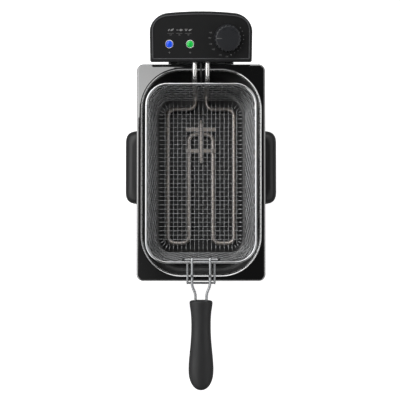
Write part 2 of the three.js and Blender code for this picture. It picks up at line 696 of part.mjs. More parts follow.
place('heating_element', elementSolid(), steel());
place('element_bracket', elementBracketSolid(), steel());
place('sensor_capillary', capillarySolid(), zinc());
const bulbFront = bulbBack - sensor.bulbLength;
place('sensor_bulb', rodAlongY(sensor.bulb, bulbFront, bulbBack, sensor.x, bulbZ), zinc());
[0.25, 0.75].forEach((share, i) => {
  const y = bulbFront + share * sensor.bulbLength;
  const half = heater.innerHalf + clip.overhang;
  const strip = box(-half, half, y, y + clip.depth, clipZ, clipZ + clip.thickness);
  place(`sensor_clip_${i + 1}`, strip, steel());
});

const buttonZ = boxZ + resetButton.z;

function cutoutSolid() {
  const back = boxCavityBack;
  const along = (radius, depth, out) => rodAlongY(radius, back - depth, back + out, resetButton.x, buttonZ);
  return cut(
    along(cutout.radius, cutout.depth, 0),
    along(resetButton.radius + gap, cutout.pocket, 1),
    along(cutout.bore, cutout.boreDepth, 0),
  );
}

function resetSolid() {
  const back = boxCavityBack - cutout.pocket + resetButton.travel + gap;
  const cap = rodAlongY(resetButton.radius, back, back + resetButton.length, resetButton.x, buttonZ);
  const stemFront = back - resetButton.stemLength;
  return join(cap, rodAlongY(resetButton.stem, stemFront, back + 1, resetButton.x, buttonZ, 12));
}

function glandSolid() {
  const seat = headBox.wall + gap;
  const outline = [
    [gland.bore, -gland.inside], [gland.radius, -gland.inside], [gland.radius, seat], [gland.flange, seat],
    [gland.flange, seat + gland.rim], [gland.radius, seat + gland.rim],
    [gland.bore + gland.lip, gland.sleeve], [gland.bore, gland.sleeve], [gland.bore, -gland.inside],
  ];
  return turned(outline).rotateX(-Math.PI / 2).translate(gland.x, boxBack - headBox.wall, boxZ + gland.z);
}

place('safety_cutout', cutoutSolid(), zinc());
place('reset_button', resetSolid(), finish(0xb3261e, 0.45, 0));
place('cord_gland', glandSolid(), rubber());
const switchZ = boxZ + headBox.wall + gap;
const switchY = boxFront + headBox.wall + interlock.fromWall;
place('interlock_switch', box(
  interlock.x, interlock.x + interlock.width, switchY, switchY + interlock.depth,
  switchZ, switchZ + interlock.height,
), panelPlastic());

function terminalSolid() {
  const [half, front, low] = [terminals.width / 2, boxCavityBack - terminals.depth, boxZ + terminals.z];
  const block = box(-half, half, front, boxCavityBack, low, low + terminals.height);
  const middle = low + terminals.height / 2;
  const bores = [-1, 0, 1].map((step) => rodAlongY(
    terminals.bore, front - 1, front + terminals.boreDepth, step * terminals.pitch, middle, 10,
  ));
  return cut(block, ...bores);
}

place('terminal_block', terminalSolid(), finish(0xd9d4c4, 0.5, 0));

// ---- Basket --------------------------------------------------------------------------------

const basketPlan = { width: basketWidth, depth: basketLength, corner: basket.corner };

function basketRimSolid() {
  const r = basket.wire;
  const middle = grown({ ...basketPlan, z: rimZ }, -r);
  const reach = r * Math.cos(Math.PI / 8);
  const slice = r * Math.sin(Math.PI / 8);
  const outer = [-1, 1].flatMap((side) => [[slice, side * reach], [reach, side * slice]].map(([by, z]) => ({
    by, z: rimZ + z,
  }))).sort((a, b) => a.z - b.z);
  const ringOutside = tub(outer.map(({ by, z }) => grown({ ...middle, z }, by)), 6);
  const ends = outer.map(({ by, z }) => grown({ ...middle, z }, -by));
  ends[0].z -= 0.5;
  ends.at(-1).z += 0.5;
  return cut(ringOutside, tub(ends, 6)).translate(0, basketY, 0);
}

function basketMeshSolid() {
  const rimInset = 2 * basket.wire - basket.wall;
  const level = (z) => {
    const share = (z - shellFloor) / (shellTop - shellFloor);
    return {
      z,
      width: basketWidth - 2 * basket.draftX + share * (2 * basket.draftX - rimInset),
      depth: basketLength - 2 * basket.draftY + share * (2 * basket.draftY - rimInset),
      corner: basket.floorCorner + share * (basket.corner - rimInset / 2 - basket.floorCorner),
    };
  };
  const fillet = basket.floorFillet;
  const outer = quarter.map((a) => grown(
    level(shellFloor + fillet * (1 - Math.cos(a))), -fillet * (1 - Math.sin(a)),
  ));
  const inside = fillet - basket.wall;
  const inner = quarter.map((a) => grown(
    { ...level(shellFloor + fillet * (1 - Math.cos(a))),
      z: shellFloor + basket.wall + inside * (1 - Math.cos(a)) },
    -basket.wall - inside * (1 - Math.sin(a)),
  ));
  outer.push(level(shellTop));
  inner.push(grown({ ...level(shellTop), z: shellTop + 1 }, -basket.wall));
  const windows = [-arm.half, arm.half].map((x) => {
    const half = arm.wire + hookWindow.side;
    const front = -basketLength / 2;
    const [low, high] = [pivotZ - hookWindow.below, pivotZ + hookWindow.above];
    return box(x - half, x + half, front - 2, front + 12, low, high);
  });
  return cut(tub(outer, 6), tub(inner, 6), ...windows).translate(0, basketY, 0);
}

function bracketSolid() {
  const x = bracket.halfWidth;
  const z = tankTop + bracket.wire + gap;
  const start = basketFront + basket.wire - bracket.wire / 2;
  const end = -flangeDepth / 2 - bracket.overFlange;
  const side = [[x, start, z], [x, end, z], [x, end, z - bracket.hook]];
  return wire([...side, ...side.map(([px, y, pz]) => [-px, y, pz]).reverse()], bracket.wire, 4, 3, 6);
}

function pivotBarSolid() {
  const x = pivot.halfWidth;
  const half = [[x, pivotY, rimZ], [x, pivotY, pivotZ]];
  return wire([...half, ...half.map(([px, y, z]) => [-px, y, z]).reverse()], pivot.wire, 4, 3, 6);
}

// The arm hooks round the pivot bar, climbs over the rim and runs out into the grip.
const armZ = rimZ + arm.rest;
const hookRadius = pivot.wire + arm.wire + gap;

function armRoute() {
  const hook = [];
  for (const turn of [-180, -150, -120, -90, -60, -30, 0]) {
    const angle = turn * Math.PI / 180;
    hook.push([arm.half, pivotY + hookRadius * Math.cos(angle), pivotZ + hookRadius * Math.sin(angle)]);
  }
  const inner = pivotY + hookRadius;
  const side = [
    [arm.half, inner - 2 * hookRadius, pivotZ + 1.2], ...hook,
    [arm.half, inner, rimZ + arm.rise],
    [arm.half, pivotY - arm.kink, rimZ + arm.rise],
    [arm.half, pivotY - arm.kink - arm.kinkRun, armZ],
    [arm.half, -flangeDepth / 2 - arm.bendFrom, armZ],
    [arm.innerHalf, -flangeDepth / 2 - arm.bendTo, armZ],
    [arm.innerHalf, gripStart - grip.bore, armZ],
  ];
  return [...side, ...side.map(([x, y, z]) => [-x, y, z]).reverse()];
}

function armWire(radius) {
  return wire(armRoute(), radius, 4, 3.2, 6);
}

function gripSolid() {
  const widths = new THREE.SplineCurve([
    [0, 15.6], [2, 17.3], [12, 16], [24, 14.5], [42, 14.2], [64, 15.4], [84, 17.6], [100, 18.6], [114, 17.2],
    [124, 12.6], [129, 7.2], [grip.length, 2.4],
  ].map(([at, half]) => new THREE.Vector2(at, half)));
  const steps = 16;
  const outline = new THREE.Shape().absellipse(0, 0, 1, 1, 0, 2 * Math.PI);
  const geometry = new THREE.ExtrudeGeometry(outline, {
    depth: steps, steps, bevelEnabled: false, curveSegments: 8,
  });
  const spots = geometry.getAttribute('position');
  for (let i = 0; i < spots.count; i += 1) {
    const at = widths.getPoint(spots.getZ(i) / steps);
    const thick = Math.min(at.y * 0.94, 7.2 + 0.26 * at.y);
    spots.setXYZ(i, spots.getX(i) * at.y, gripStart - at.x, armZ + spots.getY(i) * thick);
  }
  return cut(geometry, armWire((arm.wire + gap) / Math.cos(Math.PI / 6)));
}

place('basket_rim', basketRimSolid(), chrome());
place('basket_mesh', basketMeshSolid(), chrome());
place('front_bracket', bracketSolid(), chrome());
place('pivot_bar', pivotBarSolid(), chrome());
place('handle_wire', armWire(arm.wire), chrome());
place('handle_grip', gripSolid(), darkPlastic());

export default object;
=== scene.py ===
# A box deep fryer: enamel tank in a steel casing, control head with heater, wire basket.
import math

import bmesh
import bpy
from mathutils import Matrix, Vector
from mathutils.geometry import interpolate_bezier


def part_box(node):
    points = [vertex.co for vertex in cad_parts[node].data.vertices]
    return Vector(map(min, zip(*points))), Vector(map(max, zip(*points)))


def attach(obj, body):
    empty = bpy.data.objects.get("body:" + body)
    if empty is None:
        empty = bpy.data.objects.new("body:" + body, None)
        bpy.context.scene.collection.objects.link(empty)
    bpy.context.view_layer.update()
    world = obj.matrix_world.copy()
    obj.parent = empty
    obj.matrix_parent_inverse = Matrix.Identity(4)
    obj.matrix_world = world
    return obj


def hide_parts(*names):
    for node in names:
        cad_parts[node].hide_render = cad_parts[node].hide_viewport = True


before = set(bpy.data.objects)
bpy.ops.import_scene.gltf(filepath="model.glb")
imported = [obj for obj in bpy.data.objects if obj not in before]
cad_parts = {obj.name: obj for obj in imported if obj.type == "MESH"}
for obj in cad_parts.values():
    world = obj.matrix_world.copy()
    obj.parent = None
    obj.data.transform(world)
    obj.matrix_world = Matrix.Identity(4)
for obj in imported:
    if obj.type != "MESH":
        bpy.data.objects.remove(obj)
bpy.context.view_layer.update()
mm = 0.001
print("frame loaded:", len(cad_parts), "nodes")

flangeLow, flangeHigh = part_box("oil_tank")
middleY = (flangeLow.y + flangeHigh.y) / 2
tankTop = flangeHigh.z


# A shader socket that adds its Math nodes when it is used in a sum.
class Socket:
    def __init__(self, look, socket):
        self.look = look
        self.socket = socket

    def math(self, operation, *others):
        return self.look.node("ShaderNodeMath", {"operation": operation}, *[self, *others])

    def __add__(self, other):
        return self.math("ADD", other)

    def __sub__(self, other):
        return self.math("SUBTRACT", other)

    def __rsub__(self, other):
        return self.look.node("ShaderNodeMath", {"operation": "SUBTRACT"}, other, self)

    def __mul__(self, other):
        return self.math("MULTIPLY", other)

    def __truediv__(self, other):
        return self.math("DIVIDE", other)

    __radd__ = __add__
    __rmul__ = __mul__

    def clamp(self):
        return self.math("MAXIMUM", 0).math("MINIMUM", 1)

    def over(self, low, high):
        return ((self - low) / (high - low)).clamp()


class Look:
    def __init__(self, name, **settings):
        self.material = bpy.data.materials.new(name)
        self.material.use_nodes = True
        self.tree = self.material.node_tree
        self.tree.nodes.clear()
        self.shader = self.tree.nodes.new("ShaderNodeBsdfPrincipled")
        output = self.tree.nodes.new("ShaderNodeOutputMaterial")
        self.tree.links.new(self.shader.outputs[0], output.inputs[0])
        for key, value in settings.items():
            self.set(self.shader, key.replace("_", " "), value)
        place = self.tree.nodes.new("ShaderNodeTexCoord")
        self.place = Socket(self, place.outputs["Object"])

    def set(self, node, key, value):
        socket = node.inputs[key]
        if isinstance(value, Socket):
            self.tree.links.new(value.socket, socket)
        elif hasattr(value, "__len__") and len(value) == 3 and socket.type == "RGBA":
            socket.default_value = (*value, 1)
        else:
            socket.default_value = value

    def node(self, kind, settings, *values, output=0, **named):
        node = self.tree.nodes.new(kind)
        for key, value in settings.items():
            setattr(node, key, value)
        for index, value in enumerate(values):
            self.set(node, index, value)
        for key, value in named.items():
            self.set(node, key.replace("_", " "), value)
        return Socket(self, node.outputs[output])

    def feed(self, **values):
        for key, value in values.items():
            self.set(self.shader, key.replace("_", " "), value)
        return self

    def scaled(self, x, y, z):
        return self.node("ShaderNodeVectorMath", {"operation": "MULTIPLY"}, self.place, (x, y, z))

    def noise(self, size, detail=3, stretch=None, roughness=0.5):
        place = self.scaled(*stretch) if stretch else self.place
        values = {"Vector": place, "Scale": 1 / size, "Detail": detail, "Roughness": roughness}
        return self.node("ShaderNodeTexNoise", {}, **values)

    def cells(self, size):
        return self.node("ShaderNodeTexVoronoi", {}, Vector=self.place, Scale=1 / size)

    def axis(self, index):
        return self.node("ShaderNodeSeparateXYZ", {}, self.place, output=index)

    def mix(self, mask, first, second):
        node = self.tree.nodes.new("ShaderNodeMix")
        node.data_type = "RGBA"
        self.set(node, 0, mask)
        self.set(node, 6, first)
        self.set(node, 7, second)
        return Socket(self, node.outputs[2])

    def bump(self, height, distance, strength=1.0):
        return self.node("ShaderNodeBump", {}, Strength=strength, Distance=distance, Height=height)


def chromeLook(name, tint, oil=0.25, rough=0.05):
    look = Look(name, Metallic=1.0)
    drawn = look.noise(0.0016, 4)
    stain = look.noise(0.02, 5).over(0.52, 0.75)
    film = look.noise(0.0045, 3).over(0.5, 0.9)
    look.feed(
        Base_Color=look.mix(stain * oil, tint, (tint[0] * 0.78, tint[1] * 0.68, tint[2] * 0.5)),
        Roughness=rough + drawn * 0.08 + film * 0.12,
        Normal=look.bump(drawn, 0.00002),
    )
    return look.material


def enamelLook():
    look = Look("blackEnamel", Coat_IOR=2.3, Coat_Roughness=0.015, Specular_IOR_Level=1.0)
    peel = look.noise(0.0035, 2)
    speck = look.noise(0.0011, 2).over(0.7, 0.78)
    smear = look.noise(0.035, 4, stretch=(1, 0.4, 1)).over(0.45, 0.8)
    height = look.axis(2)
    # The band just under the top, over the opening's rim fillet and the flange's rounded edge, is made grey
    # metal: a painted highlight that brightens the rim arcs.
    rolled = height.over(tankTop - 4.4 * mm, tankTop - 3 * mm)
    rimSheen = rolled * (1 - height.over(tankTop - 0.6 * mm, tankTop - 0.1 * mm))
    oily = 1 - height.over(tankTop - 100 * mm, tankTop - 25 * mm)
    black = look.mix(speck, (0.0035, 0.0035, 0.004), (0.012, 0.012, 0.013))
    look.feed(
        Base_Color=look.mix(rimSheen, black, (0.6, 0.6, 0.6)),
        Metallic=rimSheen,
        Coat_Weight=1 - oily * 0.94,
        Roughness=0.045 + smear * 0.07 + speck * 0.2 + oily * 0.3,
        Normal=look.bump(peel, 0.000012),
    )
    return look.material


def mouldedLook(name, colour, rough, grain=0.0006, depth=0.00002, wear=1.0, gloss=0.5):
    look = Look(name, Specular_IOR_Level=gloss)
    mottle = look.noise(0.012, 4)
    fine = look.noise(grain, 3)
    handled = look.noise(0.03, 3).over(0.45, 0.75)
    light = tuple(channel * (1 + 0.35 * wear) + 0.002 for channel in colour)
    look.feed(
        Base_Color=look.mix(mottle * 0.6 + fine * 0.25, colour, light),
        Roughness=rough - handled * 0.08 + fine * 0.08,
        Normal=look.bump(fine, depth),
    )
    return look.material


def brushedLook(name, colour, along, rough=0.3):
    look = Look(name, Metallic=1.0)
    across = tuple(8.0 if index == along else 420.0 for index in range(3))
    brush = look.noise(1.0, 3, stretch=across, roughness=0.65)
    fine = look.noise(1.0, 2, stretch=tuple(value * 3 for value in across))
    hand = look.noise(0.05, 4).over(0.5, 0.8)
    look.feed(
        Base_Color=look.mix(brush, tuple(c * 0.86 for c in colour), tuple(min(1, c * 1.1) for c in colour)),
        Roughness=rough + brush * 0.14 - fine * 0.05 + hand * 0.06,
        Normal=look.bump(brush + fine * 0.5, 0.00003),
    )
    return look.material


def heaterLook():
    look = Look("heaterSteel", Metallic=1.0)
    burn = 1 - look.axis(2).over(0.05, 0.15)
    cloud = look.noise(0.012, 4)
    straw = look.mix(cloud, (0.5, 0.42, 0.3), (0.36, 0.31, 0.34))
    fine = look.noise(0.001, 3)
    look.feed(
        Base_Color=look.mix(burn * 0.7, look.mix(cloud, (0.66, 0.65, 0.63), (0.74, 0.73, 0.72)), straw),
        Roughness=0.2 + fine * 0.12 + burn * 0.12,
        Normal=look.bump(fine, 0.00002),
    )
    return look.material


def zincLook():
    look = Look("zincPlate", Metallic=1.0)
    spangle = look.cells(0.007)
    grain = look.noise(0.0012, 3)
    look.feed(
        Base_Color=look.mix(spangle.over(0.1, 0.8), (0.5, 0.51, 0.52), (0.62, 0.63, 0.62)),
        Roughness=0.3 + grain * 0.18,
        Normal=look.bump(grain, 0.00002),
    )
    return look.material


def lensLook(name, colour, glow):
    look = Look(name, Coat_Weight=0.3, Coat_Roughness=0.03, Emission_Strength=glow)
    facet = look.cells(0.0013)
    depth = look.noise(0.004, 2)
    pale = tuple(min(1, channel * 1.4 + 0.004) for channel in colour)
    tone = look.mix(facet.over(0.05, 0.6) * 0.5 + depth * 0.3, pale, colour)
    look.feed(Base_Color=tone, Roughness=0.16 + facet * 0.1, Emission_Color=tone)
    look.feed(Normal=look.bump(facet, 0.0001, 0.5))
    return look.material


def inkLook(name, tone):
    look = Look(name)
    fibre = look.noise(0.0007, 3)
    look.feed(
        Base_Color=look.mix(fibre, (tone, tone, tone), (tone * 1.2, tone * 1.2, tone * 1.18)),
        Roughness=0.55 + fibre * 0.15,
        Normal=look.bump(fibre, 0.00001),
    )
    return look.material


finish = {
    "chrome": chromeLook("brightChrome", (0.66, 0.67, 0.68)),
    "meshChrome": chromeLook("meshChrome", (0.66, 0.67, 0.68), 0.2, 0.14),
    # A darker copy of the bright chrome for the handle arm and front bracket: painted shade that makes these
    # wires read grey.
    "chromePaintedShade": chromeLook("chromePaintedShade", (0.42, 0.43, 0.44), 0.1, 0.08),
    "bezel": chromeLook("bezelChrome", (0.86, 0.86, 0.87), 0.05),
    "enamel": enamelLook(),
    "plastic": mouldedLook("darkPhenolic", (0.0085, 0.0087, 0.0093), 0.36, gloss=0.4),
    "grip": mouldedLook("gripPhenolic", (0.009, 0.0092, 0.0098), 0.5, 0.0009, 0.00003),
    "panel": mouldedLook("panelFoil", (0.0062, 0.0063, 0.0066), 0.6, 0.0009, 0.00004, 0.3, 0.2),
    "knob": mouldedLook("knobPhenolic", (0.022, 0.023, 0.026), 0.26),
    "rubber": mouldedLook("footRubber", (0.01, 0.01, 0.01), 0.85, 0.0008, 0.00008),
    "cream": mouldedLook("creamCeramic", (0.62, 0.58, 0.48), 0.5),
    "red": mouldedLook("redButton", (0.42, 0.02, 0.015), 0.32),
    "casing": brushedLook("brushedCasing", (0.56, 0.57, 0.58), 1),
    "heater": heaterLook(),
    "zinc": zincLook(),
    "blue": lensLook("blueLens", (0.0005, 0.055, 0.6), 0.5),
    "green": lensLook("greenLens", (0.0005, 0.42, 0.045), 0.4),
    "ink": inkLook("dialInk", 0.26),
    "faintInk": inkLook("faintInk", 0.17),
    # A lighter grey for the bead round the panel: a painted highlight along the recess edge.
    "beadHighlight": mouldedLook("paintedHighlightBead", (0.075, 0.076, 0.08), 0.4, 0.0006, 0.00001, 0.3),
}
print("finishes made:", len(finish))


def only(items, kind):
    return [item for item in items if isinstance(item, kind)]


# Links a piece with its finish, hangs it on the body it rides on and hides the CAD parts it stands in for.
def keep(name, mesh, material, body, nodes=()):
    piece = bpy.data.objects.new(name, mesh)
    bpy.context.scene.collection.objects.link(piece)
    mesh.materials.clear()
    mesh.materials.append(finish[material])
    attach(piece, body)
    if nodes:
        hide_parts(*nodes)
    return piece


def toMesh(bm, name, sharp=35):
    mesh = bpy.data.meshes.new(name)
    bm.to_mesh(mesh)
    bm.free()
    mesh.shade_smooth()
    mesh.set_sharp_from_angle(angle=math.radians(sharp))
    return mesh


# Lets the large flat faces rule the shading beside narrow rounded ones.
def flatShading(piece):
    weigh = piece.modifiers.new("flatShading", "WEIGHTED_NORMAL")
    weigh.weight = 90
    weigh.keep_sharp = True


def softEdges(piece, width, segments=2, angle=38):
    bevel = piece.modifiers.new("softEdges", "BEVEL")
    bevel.width = width
    bevel.segments = segments
    bevel.limit_method = "ANGLE"
    bevel.angle_limit = math.radians(angle)
    bevel.harden_normals = True
    return piece


# The CAD solid with its facets merged, its flats joined and its edges eased.
def finishedCopy(node, material, body, width=0.4 * mm, segments=2):
    bm = bmesh.new()
    bm.from_mesh(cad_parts[node].data)
    bmesh.ops.remove_doubles(bm, verts=bm.verts, dist=0.002 * mm)
    bmesh.ops.dissolve_limit(bm, angle_limit=math.radians(0.6), verts=bm.verts, edges=bm.edges)
    if node == "head_base":  # its plate ends behind the housing's undercut front
        front = headLow.y + headSizes["under"] + 0.6 * mm
        everything = bm.verts[:] + bm.edges[:] + bm.faces[:]
        cut = bmesh.ops.bisect_plane(
            bm, geom=everything, dist=0, plane_co=(0, front, 0), plane_no=(0, -1, 0), clear_outer=True)
        bmesh.ops.holes_fill(bm, edges=only(cut["geom_cut"], bmesh.types.BMEdge))
    piece = keep(node + "_finish", toMesh(bm, node), material, body, [node])
    if width:
        softEdges(piece, width, segments)
    return piece


# Rounds every corner of a route, as a bent wire or tube is.
def bent(route, bend, steps=8):
    points = [Vector(point) for point in route]
    path = [points[0]]
    for before, corner, after in zip(points, points[1:], points[2:]):
        room = min((corner - before).length, (corner - after).length) / 2
        reach = min(bend, room * 0.98)
        start = corner.lerp(before, reach / (corner - before).length)
        end = corner.lerp(after, reach / (corner - after).length)
        for step in range(steps + 1):
            t = step / steps
            path.append(start.lerp(corner, t).lerp(corner.lerp(end, t), t))
    path.append(points[-1])
    return path


def wires(name, routes, radius, closed=False, resolution=3):
    curve = bpy.data.curves.new(name, "CURVE")
    curve.dimensions = "3D"
    curve.bevel_depth = radius
    curve.bevel_resolution = resolution
    curve.use_fill_caps = True
    for route in routes:
        spline = curve.splines.new("POLY")
        spline.points.add(len(route) - 1)
        for point, place in zip(spline.points, route):
            point.co = (*place, 1)
        spline.use_cyclic_u = closed
    holder = bpy.data.objects.new(name, curve)
    bpy.context.scene.collection.objects.link(holder)
    mesh = bpy.data.meshes.new_from_object(holder)
    bpy.data.objects.remove(holder)
    mesh.shade_smooth()
    return mesh


# Carries one closed outline through several rings of the same number of points.
def lofted(rings, firstCap=False, lastCap=False):
    bm = bmesh.new()
    verts = [bm.verts.new(point) for point in rings[0]]
    edges = [bm.edges.new(pair) for pair in zip(verts, verts[1:] + verts[:1])]
    if firstCap:
        bmesh.ops.contextual_create(bm, geom=edges)
    for before, after in zip(rings, rings[1:]):
        grown = bmesh.ops.extrude_edge_only(bm, edges=edges)["geom"]
        edges = only(grown, bmesh.types.BMEdge)
        places = {tuple(round(c, 8) for c in Vector(old)): new for old, new in zip(before, after)}
        for vert in only(grown, bmesh.types.BMVert):
            vert.co = min(places.items(), key=lambda pair: (Vector(pair[0]) - vert.co).length_squared)[1]
    if lastCap:
        bmesh.ops.contextual_create(bm, geom=edges)
    bmesh.ops.recalc_face_normals(bm, faces=bm.faces)
    return bm


def roundedRing(width, depth, corner, z, steps=14):
    ring = []
    for turn in range(4):
        side, end = ((1, 1), (-1, 1), (-1, -1), (1, -1))[turn]
        for step in range(steps + 1):
            angle = (turn + step / steps) * math.pi / 2
            x = side * (width / 2 - corner) + corner * math.cos(angle)
            y = end * (depth / 2 - corner) + corner * math.sin(angle)
            ring.append(Vector((x, middleY + y, z)))
    return ring


def turned(profile, steps=48):
    bm = bmesh.new()
    verts = [bm.verts.new((radius, 0, height)) for radius, height in profile]
    edges = [bm.edges.new(pair) for pair in zip(verts, verts[1:])]
    bmesh.ops.spin(
        bm, geom=verts + edges, cent=(0, 0, 0), axis=(0, 0, 1), angle=math.tau, steps=steps, use_merge=True)
    bmesh.ops.remove_doubles(bm, verts=bm.verts, dist=0.0005 * mm)
    bmesh.ops.recalc_face_normals(bm, faces=bm.faces)
    return bm


# The oil tank is one sheet, from the flange's skirt over the rolled edge down to the floor.
tankSizes = {
    "wall": 1.2 * mm, "edge": 2.5 * mm, "rim": 4.2 * mm, "floorEase": 12 * mm, "skirt": 8 * mm,
    "flangeCorner": 10 * mm, "inFlange": (9.25 * mm, 9.75 * mm), "corner": 57 * mm,
    "floorDraft": (6.25 * mm, 5.75 * mm), "floorCorner": 48 * mm, "depth": 129 * mm, "steps": 6,
}


def makeTank():
    size = tankSizes
    width, depth = flangeHigh.x - flangeLow.x, flangeHigh.y - flangeLow.y
    openX, openY = width - 2 * size["inFlange"][0], depth - 2 * size["inFlange"][1]
    rings = [roundedRing(width, depth, size["flangeCorner"], tankTop - size["skirt"])]
    for step in range(size["steps"] + 1):
        turn = step / size["steps"] * math.pi / 2
        inset = size["edge"] * (1 - math.cos(turn))
        z = tankTop - size["edge"] * (1 - math.sin(turn))
        rings.append(roundedRing(width - 2 * inset, depth - 2 * inset, size["flangeCorner"] - inset, z))
    for step in range(size["steps"] + 1):
        turn = step / size["steps"] * math.pi / 2
        out = size["rim"] * (1 - math.sin(turn))
        z = tankTop - size["rim"] * (1 - math.cos(turn))
        rings.append(roundedRing(openX + 2 * out, openY + 2 * out, size["corner"] + out, z))
    for step in range(size["steps"] + 1):
        turn = step / size["steps"] * math.pi / 2
        inset = size["floorEase"] * (1 - math.cos(turn))
        z = tankTop - size["depth"] + size["floorEase"] * (1 - math.sin(turn))
        share = (tankTop - z) / size["depth"]
        x = openX - 2 * share * size["floorDraft"][0] - 2 * inset
        y = openY - 2 * share * size["floorDraft"][1] - 2 * inset
        corner = size["corner"] + share * (size["floorCorner"] - size["corner"]) - inset
        rings.append(roundedRing(x, y, corner, z))
    bm = lofted(rings, lastCap=True)
    floor = max(bm.faces, key=lambda face: len(face.verts))
    if floor.normal.z < 0:
        bmesh.ops.reverse_faces(bm, faces=bm.faces)
    piece = keep("tank_shell", toMesh(bm, "tank_shell", 50), "enamel", "tank", ["oil_tank"])
    solid = piece.modifiers.new("sheet", "SOLIDIFY")
    solid.thickness = size["wall"]
    solid.offset = -1
    flatShading(piece)


makeTank()
print("tank made")


# The basket: woven mesh, rim, front bracket and the bar that the handle hooks round.
basketSizes = {
    "wire": 2 * mm, "corner": 33 * mm, "pitch": 7.2 * mm, "rowPitch": 9.4 * mm,
    "strand": 0.45 * mm, "weave": 0.42 * mm,
    "floorX": 140 * mm, "floorY": 240 * mm, "floorCorner": 22 * mm, "floorEase": 8 * mm,
    "corners": 5, "pivotDrop": 9 * mm,
    # the gap in the weave round each hook of the handle
    "windowHalf": 3.6 * mm, "windowLow": 15 * mm, "windowHigh": 5 * mm, "uprightDrop": 11 * mm,
}
rimLow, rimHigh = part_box("basket_rim")
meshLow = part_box("basket_mesh")[0]
rimZ = (rimLow.z + rimHigh.z) / 2
basketY = (rimLow.y + rimHigh.y) / 2
armX = 13.2 * mm
pivotLow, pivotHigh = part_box("pivot_bar")
pivotY = (pivotLow.y + pivotHigh.y) / 2
pivotZ = rimZ - basketSizes["pivotDrop"]


# A level of the basket wall: half straights and corner radius at a height above its floor.
def basketLevel(share):
    size = basketSizes
    rimX = (rimHigh.x - rimLow.x) / 2 - size["wire"]
    rimY = (rimHigh.y - rimLow.y) / 2 - size["wire"]
    halfX = size["floorX"] / 2 + share * (rimX - size["floorX"] / 2)
    halfY = size["floorY"] / 2 + share * (rimY - size["floorY"] / 2)
    corner = size["floorCorner"] + share * (size["corner"] - size["wire"] - size["floorCorner"])
    return halfX - corner, halfY - corner, corner


# A place on the wall: side 0 to 3 turns from +X, along runs 0 to 1 on its straight, and turn
# 0 to 1 round the corner after it. out moves it off the wall.
def onWall(side, along, turn, share, out=0.0, inset=0.0):
    a, b, corner = basketLevel(share)
    outside, run = (a, b) if side % 2 == 0 else (b, a)
    angle = turn * math.pi / 2
    reach = corner + out - inset
    point = Vector((outside + reach * math.cos(angle), run * (2 * along - 1) + reach * math.sin(angle)))
    for _ in range(side):
        point = Vector((-point.y, point.x))
    return point


def basketWeave():
    size = basketSizes
    floorZ = meshLow.z + size["strand"]
    height = rimZ - floorZ
    rows = round((height - size["floorEase"]) / size["rowPitch"])
    lift = (height - size["floorEase"]) / rows
    runs = []  # every upright: (side, along, turn)
    a, b, _ = basketLevel(0)
    counts = [2 * round(2 * half / size["pitch"] / 2) for half in (b, a)]
    for side in range(4):
        count = counts[side % 2]
        runs += [(side, (step + 0.5) / count, 0.0) for step in range(count)]
        runs += [(side, 1.0, (step + 0.5) / size["corners"]) for step in range(size["corners"])]

    def wallPoint(run, level, out):
        rise = size["floorEase"] + level * lift
        flat = onWall(*run, rise / height, out)
        return Vector((flat.x, basketY + flat.y, floorZ + rise))

    def byHook(point):
        return min(abs(point.x - x) for x in (-armX, armX)) < size["windowHalf"]

    routes = []
    steps = 5
    for index, run in enumerate(runs):
        route = []
        beside = run[0] == 3 and byHook(wallPoint(run, rows, 0))
        for half in range(2 * rows, -1, -1):
            if beside and wallPoint(run, half / 2, 0).z > pivotZ - size["uprightDrop"]:
                continue
            out = size["weave"] * math.cos(math.pi * (half / 2 + index)) if half < 2 * rows else 0
            route.append(wallPoint(run, half / 2, out))
        for step in range(1, steps + 1):
            angle = step / steps * math.pi / 2
            inset = size["floorEase"] * (1 - math.cos(angle))
            flat = onWall(*run, 0, 0, inset)
            z = floorZ + size["floorEase"] * (1 - math.sin(angle))
            route.append(Vector((flat.x, basketY + flat.y, z)))
        routes.append(route)

    for row in range(1, rows):
        ring = []
        for index, run in enumerate(runs):
            following = runs[(index + 1) % len(runs)]
            ring.append(wallPoint(run, row, -size["weave"] * math.cos(math.pi * (row + index))))
            ring.append((wallPoint(run, row, 0) + wallPoint(following, row, 0)) / 2)
        pieces = [[]]
        for point in ring + ring[:1]:
            level = pivotZ - size["windowLow"] < point.z < pivotZ + size["windowHigh"]
            if level and point.y < basketY - 0.1 and byHook(point):
                pieces.append([])
            else:
                pieces[-1].append(point)
        routes += [piece for piece in pieces if len(piece) > 1]

    halfX, halfY = size["floorX"] / 2 - size["floorEase"], size["floorY"] / 2 - size["floorEase"]
    cornerR = size["floorCorner"] - size["floorEase"]
    for sideways, (reach, across, count, crossing) in enumerate([
        (halfX, halfY, counts[0], 2 * a / counts[1]), (halfY, halfX, counts[1], 2 * b / counts[0]),
    ]):
        pitch = 2 * (b, a)[sideways] / count
        extra = int((across - (b, a)[sideways]) / pitch)
        for line in range(-extra, count + extra):
            offset = (line + 0.5) * pitch - (b, a)[sideways]
            beyond = max(0.0, abs(offset) - (across - cornerR))
            end = reach - cornerR + math.sqrt(max(0.0, cornerR ** 2 - beyond ** 2))
            samples = 2 * round(2 * end / crossing)
            route = []
            for step in range(samples + 1):
                along = -end + 2 * end * step / samples
                phase = math.pi * (along / crossing + line + 0.5)
                z = floorZ + (1, -1)[sideways] * size["weave"] * math.cos(phase)
                x, y = (along, offset) if sideways == 0 else (offset, along)
                route.append(Vector((x, basketY + y, z)))
            routes.append(route)
    mesh = wires("basketWeave", routes, size["strand"], resolution=0)
    print("basket weave:", len(routes), "wires,", len(mesh.polygons), "faces")
    return keep("basket_weave", mesh, "meshChrome", "basket", ["basket_mesh"])


